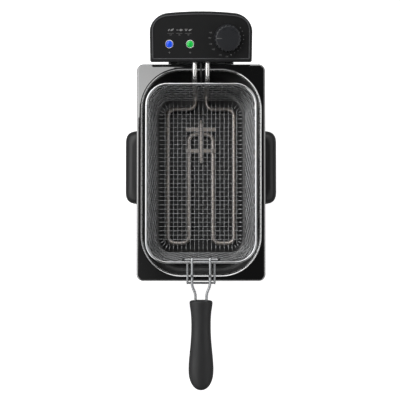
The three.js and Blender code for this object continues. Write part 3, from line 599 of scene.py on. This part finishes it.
def basketRim():
    size = basketSizes
    halfX = (rimHigh.x - rimLow.x) / 2 - size["wire"]
    halfY = (rimHigh.y - rimLow.y) / 2 - size["wire"]
    corner = size["corner"] - size["wire"]
    route = []
    for side in range(4):
        outside, run = (halfX, halfY) if side % 2 == 0 else (halfY, halfX)
        for step in range(17):
            angle = step / 16 * math.pi / 2
            x = outside - corner + corner * math.cos(angle)
            point = Vector((x, run - corner + corner * math.sin(angle)))
            for _ in range(side):
                point = Vector((-point.y, point.x))
            route.append(Vector((point.x, basketY + point.y, rimZ)))
    mesh = wires("basketRim", [route], size["wire"], closed=True)
    keep("basket_rim_wire", mesh, "chrome", "basket", ["basket_rim"])


basketWeave()
basketRim()

bracketSizes = {"wire": 1.6 * mm, "halfWidth": 20 * mm, "hook": 7 * mm, "bend": 4 * mm}
pivotSizes = {"wire": 1.5 * mm, "halfWidth": 26.6 * mm, "bend": 4 * mm}


def mirrored(route):
    return route + [Vector((-point[0], point[1], point[2])) for point in reversed(route)]


def makeBracket():
    size = bracketSizes
    low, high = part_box("front_bracket")
    z = high.z - size["wire"]
    end = low.y + size["wire"]
    x = size["halfWidth"]
    side = [(x, high.y, z), (x, end, z), (x, end, z - size["hook"])]
    mesh = wires("bracket", [bent(mirrored(side), size["bend"])], size["wire"])
    keep("bracket_wire", mesh, "chromePaintedShade", "basket", ["front_bracket"])


def makePivot():
    size = pivotSizes
    side = [(size["halfWidth"], pivotY, rimZ), (size["halfWidth"], pivotY, pivotZ)]
    mesh = wires("pivot", [bent(mirrored(side), size["bend"])], size["wire"])
    keep("pivot_wire", mesh, "chrome", "basket", ["pivot_bar"])


makeBracket()
makePivot()
print("basket made")


# The folding handle: a bent wire with a hook at each end, and its grip.
armSizes = {
    "wire": 2 * mm, "innerHalf": 8.1 * mm, "rise": 4.3 * mm, "rest": 0.5 * mm, "kink": 20.5 * mm,
    "kinkRun": 5 * mm, "bendFrom": 6.75 * mm, "bendTo": 17.75 * mm, "hook": 3.8 * mm, "bore": 37 * mm,
    "tip": 1.2 * mm, "bend": 5 * mm, "endBend": 4 * mm,
}
armZ = rimZ + armSizes["rest"]
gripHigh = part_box("handle_grip")[1]


def makeArm():
    size = armSizes
    hook = []
    for turn in range(-180, 1, 15):
        angle = math.radians(turn)
        hook.append((armX, pivotY + size["hook"] * math.cos(angle), pivotZ + size["hook"] * math.sin(angle)))
    inner = pivotY + size["hook"]
    rise = [
        (armX, inner, rimZ + size["rise"]), (armX, pivotY - size["kink"], rimZ + size["rise"]),
        (armX, pivotY - size["kink"] - size["kinkRun"], armZ),
        (armX, flangeLow.y - size["bendFrom"], armZ),
        (size["innerHalf"], flangeLow.y - size["bendTo"], armZ),
        (size["innerHalf"], gripHigh.y - size["bore"], armZ),
    ]
    tip = [Vector((armX, pivotY - size["hook"], pivotZ + size["tip"]))]
    half = tip + [Vector(point) for point in hook[:-1]] + bent([hook[-1]] + rise, size["bend"])[:-1]
    last = half[-1]
    loop = [last, *mirrored([Vector(rise[-1])]), (-last.x, last.y, last.z)]
    inside = bent(loop, size["endBend"])
    route = half + inside[1:-1] + [Vector((-p.x, p.y, p.z)) for p in reversed(half)]
    mesh = wires("arm", [route], size["wire"])
    keep("arm_wire", mesh, "chromePaintedShade", "basket_handle", ["handle_wire"])


# Rings of the grip in millimetres: how far along it, and its half width there. It is nearly round
# where it is thin, and flatter where it is wide.
gripRings = [
    (0, 13.2), (0.6, 16.0), (2.4, 17.3), (7, 16.9), (14, 15.6), (24, 14.6),
    (38, 14.2), (54, 14.7), (70, 16.1), (86, 17.8), (99, 18.6), (109, 18.2),
    (117, 16.4), (123.5, 13.1), (127.8, 9.2), (130, 5.2), (130.6, 1.6),
]
gripDepth = {"round": 0.94, "flat": 7.2, "share": 0.26}


def makeGrip():
    bm = bmesh.new()
    ring = bmesh.ops.create_circle(bm, cap_ends=True, segments=32, radius=1)["verts"]
    bmesh.ops.rotate(bm, verts=ring, cent=(0, 0, 0), matrix=Matrix.Rotation(math.pi / 2, 3, "X"))
    last = 0
    done = Vector((1, 1, 1))
    edges = bm.edges[:]
    for index, (at, half) in enumerate(gripRings):
        if index:
            grown = bmesh.ops.extrude_edge_only(bm, edges=edges)["geom"]
            ring = only(grown, bmesh.types.BMVert)
            edges = only(grown, bmesh.types.BMEdge)
            bmesh.ops.translate(bm, verts=ring, vec=(0, -(at - last) * mm, 0))
        thick = min(half * gripDepth["round"], gripDepth["flat"] + gripDepth["share"] * half)
        wanted = Vector((half * mm, 1, thick * mm))
        factor = Vector((wanted.x / done.x, 1, wanted.z / done.z))
        bmesh.ops.scale(bm, verts=ring, vec=factor)
        done = wanted
        last = at
    bmesh.ops.contextual_create(bm, geom=edges)
    bmesh.ops.translate(bm, verts=bm.verts, vec=(0, gripHigh.y, armZ))
    bmesh.ops.recalc_face_normals(bm, faces=bm.faces)
    mesh = toMesh(bm, "grip", 60)
    piece = keep("grip_body", mesh, "grip", "basket_handle", ["handle_grip"])
    smooth = piece.modifiers.new("smooth", "SUBSURF")
    smooth.levels = 2
    smooth.render_levels = 2


makeArm()
makeGrip()
print("handle made")


# The heater's tube, the thin capillary beside it and the sensor bulb.
heaterSizes = {
    "tube": 3.75 * mm, "half": 9.35 * mm, "bend": 13 * mm, "innerHalf": 20 * mm, "innerRun": 180 * mm,
    "tankOpening": 302.5 * mm, "riserRoom": 13.4 * mm, "tankFloor": 291 * mm,
    "frontRoom": 35.5 * mm, "backRoom": 33.5 * mm,
    "capillary": 1.2 * mm, "capillaryBend": 8 * mm, "capillaryShort": 2 * mm,
}


def makeHeater():
    size = heaterSizes
    low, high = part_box("heating_element")
    bulbLow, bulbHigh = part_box("sensor_bulb")
    tubeZ = high.z - size["tube"]
    loopZ = low.z + size["tube"]
    side = high.x - size["tube"]
    risersY = middleY + size["tankOpening"] / 2 - size["riserRoom"]
    front = middleY - size["tankFloor"] / 2 + size["frontRoom"]
    back = middleY + size["tankFloor"] / 2 - size["backRoom"]
    half = [
        (size["half"], high.y, tubeZ), (size["half"], risersY, tubeZ), (size["half"], risersY, loopZ),
        (size["half"], back, loopZ), (side, back, loopZ), (side, front, loopZ),
        (size["innerHalf"], front, loopZ), (size["innerHalf"], front + size["innerRun"], loopZ),
    ]
    mesh = wires("heater", [bent(mirrored([Vector(p) for p in half]), size["bend"], 10)], size["tube"])
    keep("heater_tube", mesh, "heater", "head", ["heating_element"])
    bulbZ = (bulbLow.z + bulbHigh.z) / 2
    start = high.y - size["capillaryShort"]
    route = [(0, start, tubeZ), (0, risersY, tubeZ), (0, risersY, bulbZ), (0, bulbHigh.y, bulbZ)]
    mesh = wires("capillary", [bent(route, size["capillaryBend"])], size["capillary"])
    keep("capillary_tube", mesh, "plastic", "head", ["sensor_capillary"])
    radius, length = (bulbHigh.z - bulbLow.z) / 2, bulbHigh.y - bulbLow.y
    bm = turned([
        (0, 0), (radius * 0.6, 0), (radius, 0.12 * length), (radius, 0.88 * length),
        (radius * 0.45, 0.96 * length), (radius * 0.45, length), (0, length),
    ], 32)
    bmesh.ops.rotate(bm, verts=bm.verts, cent=(0, 0, 0), matrix=Matrix.Rotation(-math.pi / 2, 3, "X"))
    bmesh.ops.translate(bm, verts=bm.verts, vec=(0, bulbLow.y, bulbZ))
    keep("bulb_body", toMesh(bm, "bulb"), "heater", "head", ["sensor_bulb"])


makeHeater()
print("heater made")


# The control head's sloping housing, with a lighter bead round the panel: a painted highlight along the
# recess edge.
headLow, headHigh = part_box("head_housing")
headSizes = {
    "tilt": math.radians(16), "front": 16 * mm, "frontCorner": 3 * mm, "edge": 1.8 * mm,
    "panelInset": 4.4 * mm, "recess": 1.2 * mm, "wall": 2.3 * mm, "bead": 0.8 * mm, "under": 5 * mm,
    "backRun": 27.8 * mm, "crownInset": 26.2 * mm, "crownDrop": 2.3 * mm,
    "cornerPull": (13 * mm, 14 * mm, 1.3 * mm),
}
headTop = headLow.z + headSizes["front"]
slope = Matrix.Translation((0, headLow.y, headTop)) @ Matrix.Rotation(headSizes["tilt"], 4, "X")


def headRing(inset, lift=None, under=0.0):
    size = headSizes
    half, back, front = headHigh.x - inset, headHigh.y - inset, headLow.y + inset + under
    knee = headHigh.y - size["backRun"]
    crown = headHigh.x - size["crownInset"]
    shoulder = back - size["crownDrop"]
    ease = max(size["frontCorner"] - inset, 0.6 * mm)
    top = back + size["crownDrop"] / 3
    side, along, drop = size["cornerPull"]
    curves = [
        [(half - ease, front), (half - ease / 3, front), (half, front + ease / 3), (half, front + ease)],
        [(half, knee), (half, knee + side), (crown + along, shoulder - drop), (crown, shoulder)],
        [(crown, shoulder), (crown / 3, top), (-crown / 3, top), (-crown, shoulder)],
    ]
    right = []
    for curve, steps in zip(curves, (7, 22, 25)):
        points = interpolate_bezier(*[Vector((x, y, 0)) for x, y in curve], steps)
        right += points[1:] if right and (points[0] - right[-1]).length < 0.01 * mm else points
    left = [Vector((-p.x, p.y, 0)) for p in reversed(right[:28])]
    for point in right + left:
        if lift is None:
            point.z = headLow.z
        else:
            rise = (point.y - headLow.y) * math.tan(size["tilt"])
            point.z = headTop + rise + lift / math.cos(size["tilt"])
    return right + left


def makeHousing():
    size = headSizes
    rings = [headRing(0, None, size["under"])]
    for step in range(5):
        turn = step / 4 * math.pi / 2
        rings.append(headRing(size["edge"] * (1 - math.cos(turn)), -size["edge"] * (1 - math.sin(turn))))
    rings += [headRing(size["panelInset"], 0), headRing(size["panelInset"], -size["recess"])]
    bm = lofted(rings, lastCap=True)
    top = max(bm.faces, key=lambda face: len(face.verts))
    if top.normal.z < 0:
        bmesh.ops.reverse_faces(bm, faces=bm.faces)
    mesh = toMesh(bm, "housing", 30)
    piece = keep("head_shell", mesh, "plastic", "head", ["head_housing"])
    solid = piece.modifiers.new("wall", "SOLIDIFY")
    solid.thickness = size["wall"]
    solid.offset = -1
    flatShading(piece)
    # The bead is lighter than the housing: a painted highlight along the recess edge.
    bead = headRing(size["panelInset"] - 0.2 * mm, 0.05 * mm)
    keep("head_bead", wires("bead", [bead], size["bead"], closed=True), "beadHighlight", "head")


makeHousing()

# The knob, lamps and dial marks are made flat, then laid on the slope.
knobSizes = {
    "radius": 19.6 * mm, "height": 15 * mm, "flutes": 20, "flute": 2.1 * mm, "lift": 1.2 * mm,
    "foot": 3 * mm, "skirt": 1.5 * mm, "shoulder": (0.975, 4 * mm), "brow": (0.935, 1.8 * mm),
    "easeIn": 1.6 * mm, "easeUp": 1.3 * mm, "crown": 0.5 * mm,
    "pointer": (8.6 * mm, 0.9 * mm, 0.5 * mm), "pointerIn": 7.4 * mm, "pointerSunk": 0.35 * mm,
}
knobCentre = Vector((38.4 * mm, 33.5 * mm, -0.1 * mm))
lampSizes = {
    "lens": 4.7 * mm, "bezel": 6.3 * mm, "v": 25.2 * mm, "gap": 0.2 * mm, "bezelDeep": 4 * mm,
    "lensDeep": 6 * mm, "domeFrom": 0.5 * mm, "dome": 1.7 * mm,
    # how far in from the bezel's edge its section runs, and how high
    "section": [
        (0.9 * mm, 1.5 * mm), (0.3 * mm, 1.1 * mm), (0, 0.4 * mm), (0, 0.05 * mm), (1.1 * mm, 0.05 * mm),
    ],
}
lampPlaces = {"power": (-45.9 * mm, "blue"), "ready": (-15.9 * mm, "green")}


def laid(bm, centre):
    bmesh.ops.transform(bm, verts=bm.verts, matrix=slope @ Matrix.Translation(centre))
    return bm


def knobRing(radius, z, flute=0.0):
    size = knobSizes
    ring = []
    for step in range(size["flutes"] * 6):
        turn = 2 * math.pi * step / (size["flutes"] * 6)
        reach = radius - flute * (0.5 + 0.5 * math.cos(size["flutes"] * turn)) ** 2
        ring.append(Vector((reach * math.cos(turn), reach * math.sin(turn), z)))
    return ring


def makeKnob():
    size = knobSizes
    radius, height, flute = size["radius"], size["height"], size["flute"]
    shoulder, shoulderDrop = size["shoulder"]
    brow, browDrop = size["brow"]
    rings = [
        knobRing(radius - size["foot"], 0),
        knobRing(radius, 0),
        knobRing(radius, size["skirt"], flute * 0.6),
        knobRing(radius * shoulder, height - shoulderDrop, flute),
        knobRing(radius * brow, height - browDrop, flute),
    ]
    for step in range(1, 5):
        turn = step / 4 * math.pi / 2
        reach = radius * brow - size["easeIn"] * (1 - math.cos(turn))
        z = height - browDrop + size["easeUp"] * math.sin(turn)
        rings.append(knobRing(reach, z, flute * (1 - step / 4)))
    for share in (0.76, 0.55, 0.3, 0.1):
        rings.append(knobRing(radius * share, height - size["crown"] * share ** 2))
    bm = lofted(rings, firstCap=True, lastCap=True)
    laid(bm, knobCentre + Vector((0, 0, size["lift"])))
    keep("knob_body", toMesh(bm, "knob", 40), "knob", "knob", ["knob"])
    bm = bmesh.new()
    bmesh.ops.create_cube(bm, size=1)
    bmesh.ops.scale(bm, vec=size["pointer"], verts=bm.verts)
    bmesh.ops.bevel(
        bm, geom=bm.edges[:], offset=0.15 * mm, affect="EDGES", segments=2, profile=0.5, material=-1)
    z = size["lift"] + height - size["pointerSunk"]
    laid(bm, knobCentre + Vector((-radius + size["pointerIn"], 0, z)))
    keep("knob_pointer", toMesh(bm, "pointer"), "faintInk", "knob")


def makeLamps():
    size = lampSizes
    for name, (u, colour) in lampPlaces.items():
        centre = Vector((u, size["v"], -0.1 * mm))
        lens, deep = size["lens"], size["bezelDeep"]
        inner = lens + size["gap"]
        section = [(inner, -deep), (inner, 0.9 * mm), (lens + 0.5 * mm, 1.4 * mm)]
        section += [(size["bezel"] - inward, height) for inward, height in size["section"]]
        section += [(section[-1][0], -deep), (inner, -deep)]
        bm = turned(section, 56)
        keep(f"{name}_bezel", toMesh(laid(bm, centre), name, 40), "bezel", "head",
             [f"{name}_lamp_bezel"])
        dome = [(0, -size["lensDeep"]), (lens, -size["lensDeep"]), (lens, size["domeFrom"])]
        for step in range(1, 7):
            angle = step / 6 * math.pi / 2
            dome.append((lens * math.cos(angle), size["domeFrom"] + size["dome"] * math.sin(angle)))
        bm = turned(dome, 48)
        keep(f"{name}_lens", toMesh(laid(bm, centre), name, 50), colour, "head",
             [f"{name}_lamp_lens"])


makeKnob()
makeLamps()

dialSizes = {
    "labels": [(268, "130"), (246, "150"), (217, "160"), (199, "170"), (179, "180"), (163, "190")],
    "labelRadius": 26 * mm, "text": 3 * mm, "tickRadius": 23.3 * mm, "off": 283,
    "ticks": [297, 311, 324, 341, 356, 10, 25, 39], "tick": 0.9 * mm, "tickGrowth": 0.12 * mm,
    "tickWide": 0.8 * mm, "offRadius": 24 * mm, "offDot": 0.9 * mm, "cross": (3 * mm, 0.45 * mm),
    "crossDrop": 12 * mm, "panel": -0.1 * mm, "ink": 0.08 * mm, "inkLift": 0.04 * mm,
}


def aroundKnob(radius, degrees):
    turn = math.radians(degrees)
    return knobCentre.x + radius * math.cos(turn), knobCentre.y + radius * math.sin(turn)


def onSlope(u, v, height, turn=0.0):
    return slope @ Matrix.Translation((u, v, dialSizes["panel"] + height)) @ Matrix.Rotation(turn, 4, "Z")


def textPiece(name, words, size, u, v):
    curve = bpy.data.curves.new(name, "FONT")
    curve.body = words
    curve.size = size
    curve.align_x = "CENTER"
    curve.align_y = "CENTER"
    curve.extrude = 0.03 * mm
    holder = bpy.data.objects.new(name, curve)
    bpy.context.scene.collection.objects.link(holder)
    mesh = bpy.data.meshes.new_from_object(holder)
    bpy.data.objects.remove(holder)
    mesh.transform(onSlope(u, v, dialSizes["inkLift"]))
    return mesh


def inkShape(bm, u, v, long, wide, turn):
    made = bmesh.ops.create_cube(bm, size=1)["verts"]
    bmesh.ops.scale(bm, vec=(long, wide, dialSizes["ink"]), verts=made)
    bmesh.ops.transform(bm, matrix=onSlope(u, v, dialSizes["inkLift"], turn), verts=made)


def makeDial():
    size = dialSizes
    for angle, words in size["labels"]:
        mesh = textPiece("label", words, size["text"], *aroundKnob(size["labelRadius"], angle))
        keep(f"dial_label_{words}", mesh, "faintInk", "head")
    bm = bmesh.new()
    for index, angle in enumerate(size["ticks"]):
        long = size["tick"] + index * size["tickGrowth"]
        u, v = aroundKnob(size["tickRadius"], angle)
        inkShape(bm, u, v, long, size["tickWide"], math.radians(angle))
    crossV = lampSizes["v"] - size["crossDrop"]
    long, wide = size["cross"]
    for u, _ in lampPlaces.values():
        inkShape(bm, u, crossV, long, wide, 0)
        inkShape(bm, u, crossV, wide, long, 0)
    for u in pictures["places"]:
        inkShape(bm, u, pictures["v"] - pictures["lineDrop"], *pictures["line"], 0)
    bmesh.ops.recalc_face_normals(bm, faces=bm.faces)
    keep("dial_marks", toMesh(bm, "marks"), "faintInk", "head")
    bm = turned([(0, 0), (size["offDot"], 0), (size["offDot"], size["ink"]), (0, size["ink"])], 24)
    laid(bm, Vector((*aroundKnob(size["offRadius"], size["off"]), size["panel"])))
    keep("dial_off_dot", toMesh(bm, "off"), "ink", "head")


# Plain food pictures over the cooking temperatures: a fish, a drumstick and a few chips.
pictures = {
    "places": [-44 * mm, -31.5 * mm, -18.5 * mm], "v": 45 * mm, "text": 2.2 * mm,
    "line": (9 * mm, 0.35 * mm), "lineDrop": 4.6 * mm, "heatDrop": 6.9 * mm,
}


def disc(bm, u, v, long, wide, turn=0.0):
    made = bmesh.ops.create_circle(bm, cap_ends=True, segments=20, radius=0.5)["verts"]
    grown = bmesh.ops.extrude_face_region(bm, geom=list(made[0].link_faces))["geom"]
    bmesh.ops.translate(bm, verts=only(grown, bmesh.types.BMVert), vec=(0, 0, 1))
    verts = bm.verts[-40:]
    bmesh.ops.scale(bm, vec=(long, wide, dialSizes["ink"]), verts=verts)
    bmesh.ops.transform(bm, matrix=onSlope(u, v, 0, turn), verts=verts)


def makePictures():
    v = pictures["v"]
    fish, bird, chips = pictures["places"]
    bm = bmesh.new()
    disc(bm, fish - 2.4 * mm, v, 3.6 * mm, 1.8 * mm, 0.9)
    disc(bm, fish + 2.2 * mm, v + 0.2 * mm, 5 * mm, 2.2 * mm, 0.5)
    inkShape(bm, fish + 4.3 * mm, v + 1.5 * mm, 1.6 * mm, 0.7 * mm, 1.9)
    inkShape(bm, bird - 2.6 * mm, v, 3.4 * mm, 0.8 * mm, 0)
    disc(bm, bird + 2.4 * mm, v, 4.2 * mm, 2.8 * mm, 0.1)
    inkShape(bm, bird + 4.8 * mm, v, 1.4 * mm, 0.8 * mm, 0.3)
    for step in (-1, 0, 1):
        inkShape(bm, chips - 3 * mm + step * 1.2 * mm, v + 0.3 * mm, 3 * mm, 0.7 * mm, 1.57 - step * 0.35)
    disc(bm, chips + 2.6 * mm, v, 4.4 * mm, 2.2 * mm, 0.4)
    inkShape(bm, chips + 5 * mm, v + 1 * mm, 1.6 * mm, 0.6 * mm, 0.6)
    bmesh.ops.recalc_face_normals(bm, faces=bm.faces)
    keep("food_pictures", toMesh(bm, "pictures"), "ink", "head")
    for u, words in zip(pictures["places"], ("170", "190", "180")):
        mesh = textPiece("heat", words, pictures["text"], u, v - pictures["heatDrop"])
        keep(f"picture_heat_{words}", mesh, "faintInk", "head")


makePictures()
makeDial()
print("control head made")


# The side handles are hollow underneath for the fingers.
handleSizes = {
    "round": 12 * mm, "wall": 3.5 * mm, "corner": 19 * mm, "ease": 1 * mm, "pull": (4 * mm, 7 * mm),
}


def handleRing(low, high, side, inset, z, near):
    size = handleSizes
    start, far = low.x + near, high.x - inset
    middle, end = (low.y + high.y) / 2, (high.y - low.y) / 2 - inset
    corner = size["corner"]
    across, along = size["pull"]
    curve = [Vector((far - corner, end, 0)), Vector((far - across, end, 0)),
             Vector((far, end - along, 0)), Vector((far, end - corner, 0))]
    top = [Vector((start, end, 0))] + list(interpolate_bezier(*curve, 14))
    bottom = [Vector((p.x, -p.y, 0)) for p in reversed(top)]
    return [Vector((side * p.x, middle + p.y, z)) for p in top + bottom]


def makeSideHandle(name, side):
    size = handleSizes
    low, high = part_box(name)
    reach = (min(abs(low.x), abs(high.x)), max(abs(low.x), abs(high.x)))
    flatLow, flatHigh = Vector((reach[0], low.y, low.z)), Vector((reach[1], high.y, high.z))
    wall, ease = size["wall"], size["ease"]
    outlines = [
        (wall + size["round"] * 0.6, high.z - wall, wall), (wall, high.z - size["round"], wall),
        (wall, low.z, wall), (ease, low.z, 0), (0, low.z + ease, 0),
    ]
    for step in range(9):
        turn = step / 8 * math.pi / 2
        inset = size["round"] * (1 - math.cos(turn))
        outlines.append((inset, high.z - size["round"] * (1 - math.sin(turn)), 0))
    rings = [handleRing(flatLow, flatHigh, side, *outline) for outline in outlines]
    bm = lofted(rings, firstCap=True, lastCap=True)
    flatShading(keep(name + "_moulding", toMesh(bm, name, 45), "plastic", "base", [name]))


makeSideHandle("left_handle", -1)
makeSideHandle("right_handle", 1)
print("side handles made")


# The rest keeps its CAD shape. Each has a finish, a body, a slot and an eased edge in millimetres.
copies = {
    "outer_casing": ("casing", "base", "casing_steel", 0.25),
    "base_pan": ("plastic", "base", "dark_plastic", 0.6),
    "rear_guide": ("zinc", "base", "zinc_steel", 0.4),
    "head_base": ("plastic", "head", "dark_plastic", 0.5),
    "head_tongue": ("zinc", "head", "zinc_steel", 0.4),
    "control_panel": ("panel", "head", "panel_plastic", 0.15),
    "thermostat_body": ("zinc", "head", "zinc_steel", 0.4),
    "thermostat_shaft": ("zinc", "knob", "zinc_steel", 0.3),
    "element_bracket": ("zinc", "head", "heater_steel", 0.2),
    "sensor_clip_1": ("heater", "head", "heater_steel", 0.2),
    "sensor_clip_2": ("heater", "head", "heater_steel", 0.2),
    "safety_cutout": ("plastic", "head", "zinc_steel", 0.4),
    "cord_gland": ("rubber", "head", "rubber", 0.5),
    "interlock_switch": ("panel", "head", "panel_plastic", 0.5),
    "terminal_block": ("cream", "head", "cream_plastic", 0.5),
    "reset_button": ("red", "reset_button", "red_plastic", 0.5),
}
for node, (material, body, slot, width) in copies.items():
    finishedCopy(node, material, body, width * mm)
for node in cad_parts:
    if "screw" in node:
        body = "head" if node.startswith(("head", "tongue")) else "base"
        finishedCopy(node, "zinc", body, 0.3 * mm)
    elif node.startswith("foot_"):
        finishedCopy(node, "rubber", "base", 0.5 * mm)
print("copied pieces finished")


# The studio's brightness, the room's size in metres and where the camera stands.
studio = {
    "floor": 0.8, "floorGlow": 0.85, "glare": 0.42, "side": 1.2, "shine": 2.1, "back": 2.2, "front": 0.7,
    "overhead": 2.3, "dim": 0.08, "world": 0.02, "floorSize": 14, "wallRadius": 13, "wallHeight": 14,
    "cameraX": -1.5 * mm, "cameraY": -18.9 * mm, "cameraHeight": 1004.8 * mm, "aimY": 2.5 * mm,
    "lens": 61.14,
}


# Puts a stage piece in the scene, hidden from the kinds of ray that are named.
def staged(name, bm, look, *hidden):
    piece = bpy.data.objects.new(name, toMesh(bm, name))
    bpy.context.scene.collection.objects.link(piece)
    piece.data.materials.append(look.material)
    for kind in hidden:
        setattr(piece, "visible_" + kind, False)
    return piece


def flatSheet(size):
    bm = bmesh.new()
    bmesh.ops.create_grid(bm, x_segments=1, y_segments=1, size=size)
    return bm


def glowLook(name, colour):
    look = Look(name, Base_Color=(0, 0, 0), Roughness=1.0, Emission_Strength=1.0)
    return look.feed(Emission_Color=colour)


def makeRoom():
    white = studio["floor"]
    look = Look("paleFloor", Base_Color=(white, white, white), Roughness=0.9)
    look.feed(Emission_Color=(1, 1, 1), Emission_Strength=studio["floorGlow"])
    staged("floor", flatSheet(studio["floorSize"]), look, "glossy")
    # gloss sees a dimmer floor than the eye does, so that the black enamel stays black
    dim = glowLook("dimFloor", (studio["glare"],) * 3)
    staged("floorInGloss", flatSheet(studio["floorSize"]), dim, "camera", "diffuse", "shadow")
    bm = bmesh.new()
    radius = studio["wallRadius"]
    bmesh.ops.create_cone(bm, segments=64, radius1=radius, radius2=radius, depth=studio["wallHeight"])
    staged("backdrop", bm, glowLook("paleBackdrop", (1, 1, 1)), "glossy", "diffuse", "shadow")


# A glowing board that lights the fryer and shows in its gloss. Its own X runs along the board's edge,
# and fade holds where along it the glow starts to sink, where it ends and how much is left.
def board(name, centre, turn, width, height, strength, fade):
    start, end, left = fade
    bm = flatSheet(0.5)
    bmesh.ops.scale(bm, vec=(width, height, 1), verts=bm.verts)
    look = glowLook(name + "Glow", (0, 0, 0))
    sunk = look.axis(0).over(start, end)
    look.feed(Emission_Color=look.mix(sunk, (strength,) * 3, (left * strength,) * 3))
    piece = staged(name, bm, look, "camera", "shadow")
    facingDown = Matrix.Rotation(math.pi, 4, "X")
    piece.matrix_world = Matrix.Translation(centre) @ Matrix.Rotation(turn, 4, "Z") @ facingDown


def lightBox(name, place, aim, width, height, radiance):
    data = bpy.data.lights.new(name, "AREA")
    data.shape = "RECTANGLE"
    data.size = width
    data.size_y = height
    data.energy = radiance * math.pi * width * height
    lamp = bpy.data.objects.new(name, data)
    bpy.context.scene.collection.objects.link(lamp)
    lamp.location = place
    lamp.rotation_euler = (Vector(aim) - Vector(place)).to_track_quat("-Z", "Y").to_euler()
    return lamp


def makeStudio():
    makeRoom()
    middle = (0, middleY, 0.16)
    for side, share in ((-1, 1.0), (1, 0.55)):
        place = (side * 1.1, 0.05, 0.95)
        soft = lightBox(f"sideBox{side}", place, middle, 2.2, 0.7, studio["side"] * share)
        soft.visible_glossy = False
        place = (side * 0.95, 0.05, 1.0)
        shine = lightBox(f"sideShine{side}", place, middle, 2.6, 1.0, studio["shine"] * share)
        shine.visible_diffuse = False
    lightBox("backBox", (0, 1.2, 1.0), middle, 1.6, 0.7, studio["back"])
    lightBox("frontBox", (0, -1.3, 1.0), middle, 1.2, 0.5, studio["front"])
    along = math.radians(50.9)
    board("rearBoard", (-0.4621, 0.6564, 1.365), along, 1.4, 0.9, studio["overhead"], (-0.2, 0.25, 0.5))
    board("dimBoard", (-0.21, -0.04, 1.365), 0, 0.42, 0.68, studio["dim"], (-0.05, 0.2, 0.05))
    world = bpy.data.worlds.new("room")
    bpy.context.scene.world = world
    world.use_nodes = True
    world.node_tree.nodes["Background"].inputs[0].default_value = (1, 1, 1, 1)
    world.node_tree.nodes["Background"].inputs[1].default_value = studio["world"]


def makeCamera():
    data = bpy.data.cameras.new("camera")
    camera = bpy.data.objects.new("camera", data)
    bpy.context.scene.collection.objects.link(camera)
    bpy.context.scene.camera = camera
    place = Vector((studio["cameraX"], studio["cameraY"], tankTop + studio["cameraHeight"]))
    aim = Vector((studio["cameraX"], studio["aimY"], tankTop))
    camera.location = place
    camera.rotation_euler = (aim - place).to_track_quat("-Z", "Y").to_euler()
    data.sensor_fit = "HORIZONTAL"
    data.sensor_width = 36
    data.lens = studio["lens"]
    data.clip_end = 50


makeStudio()
makeCamera()
bpy.context.scene.view_settings.view_transform = "Standard"
print("studio made")
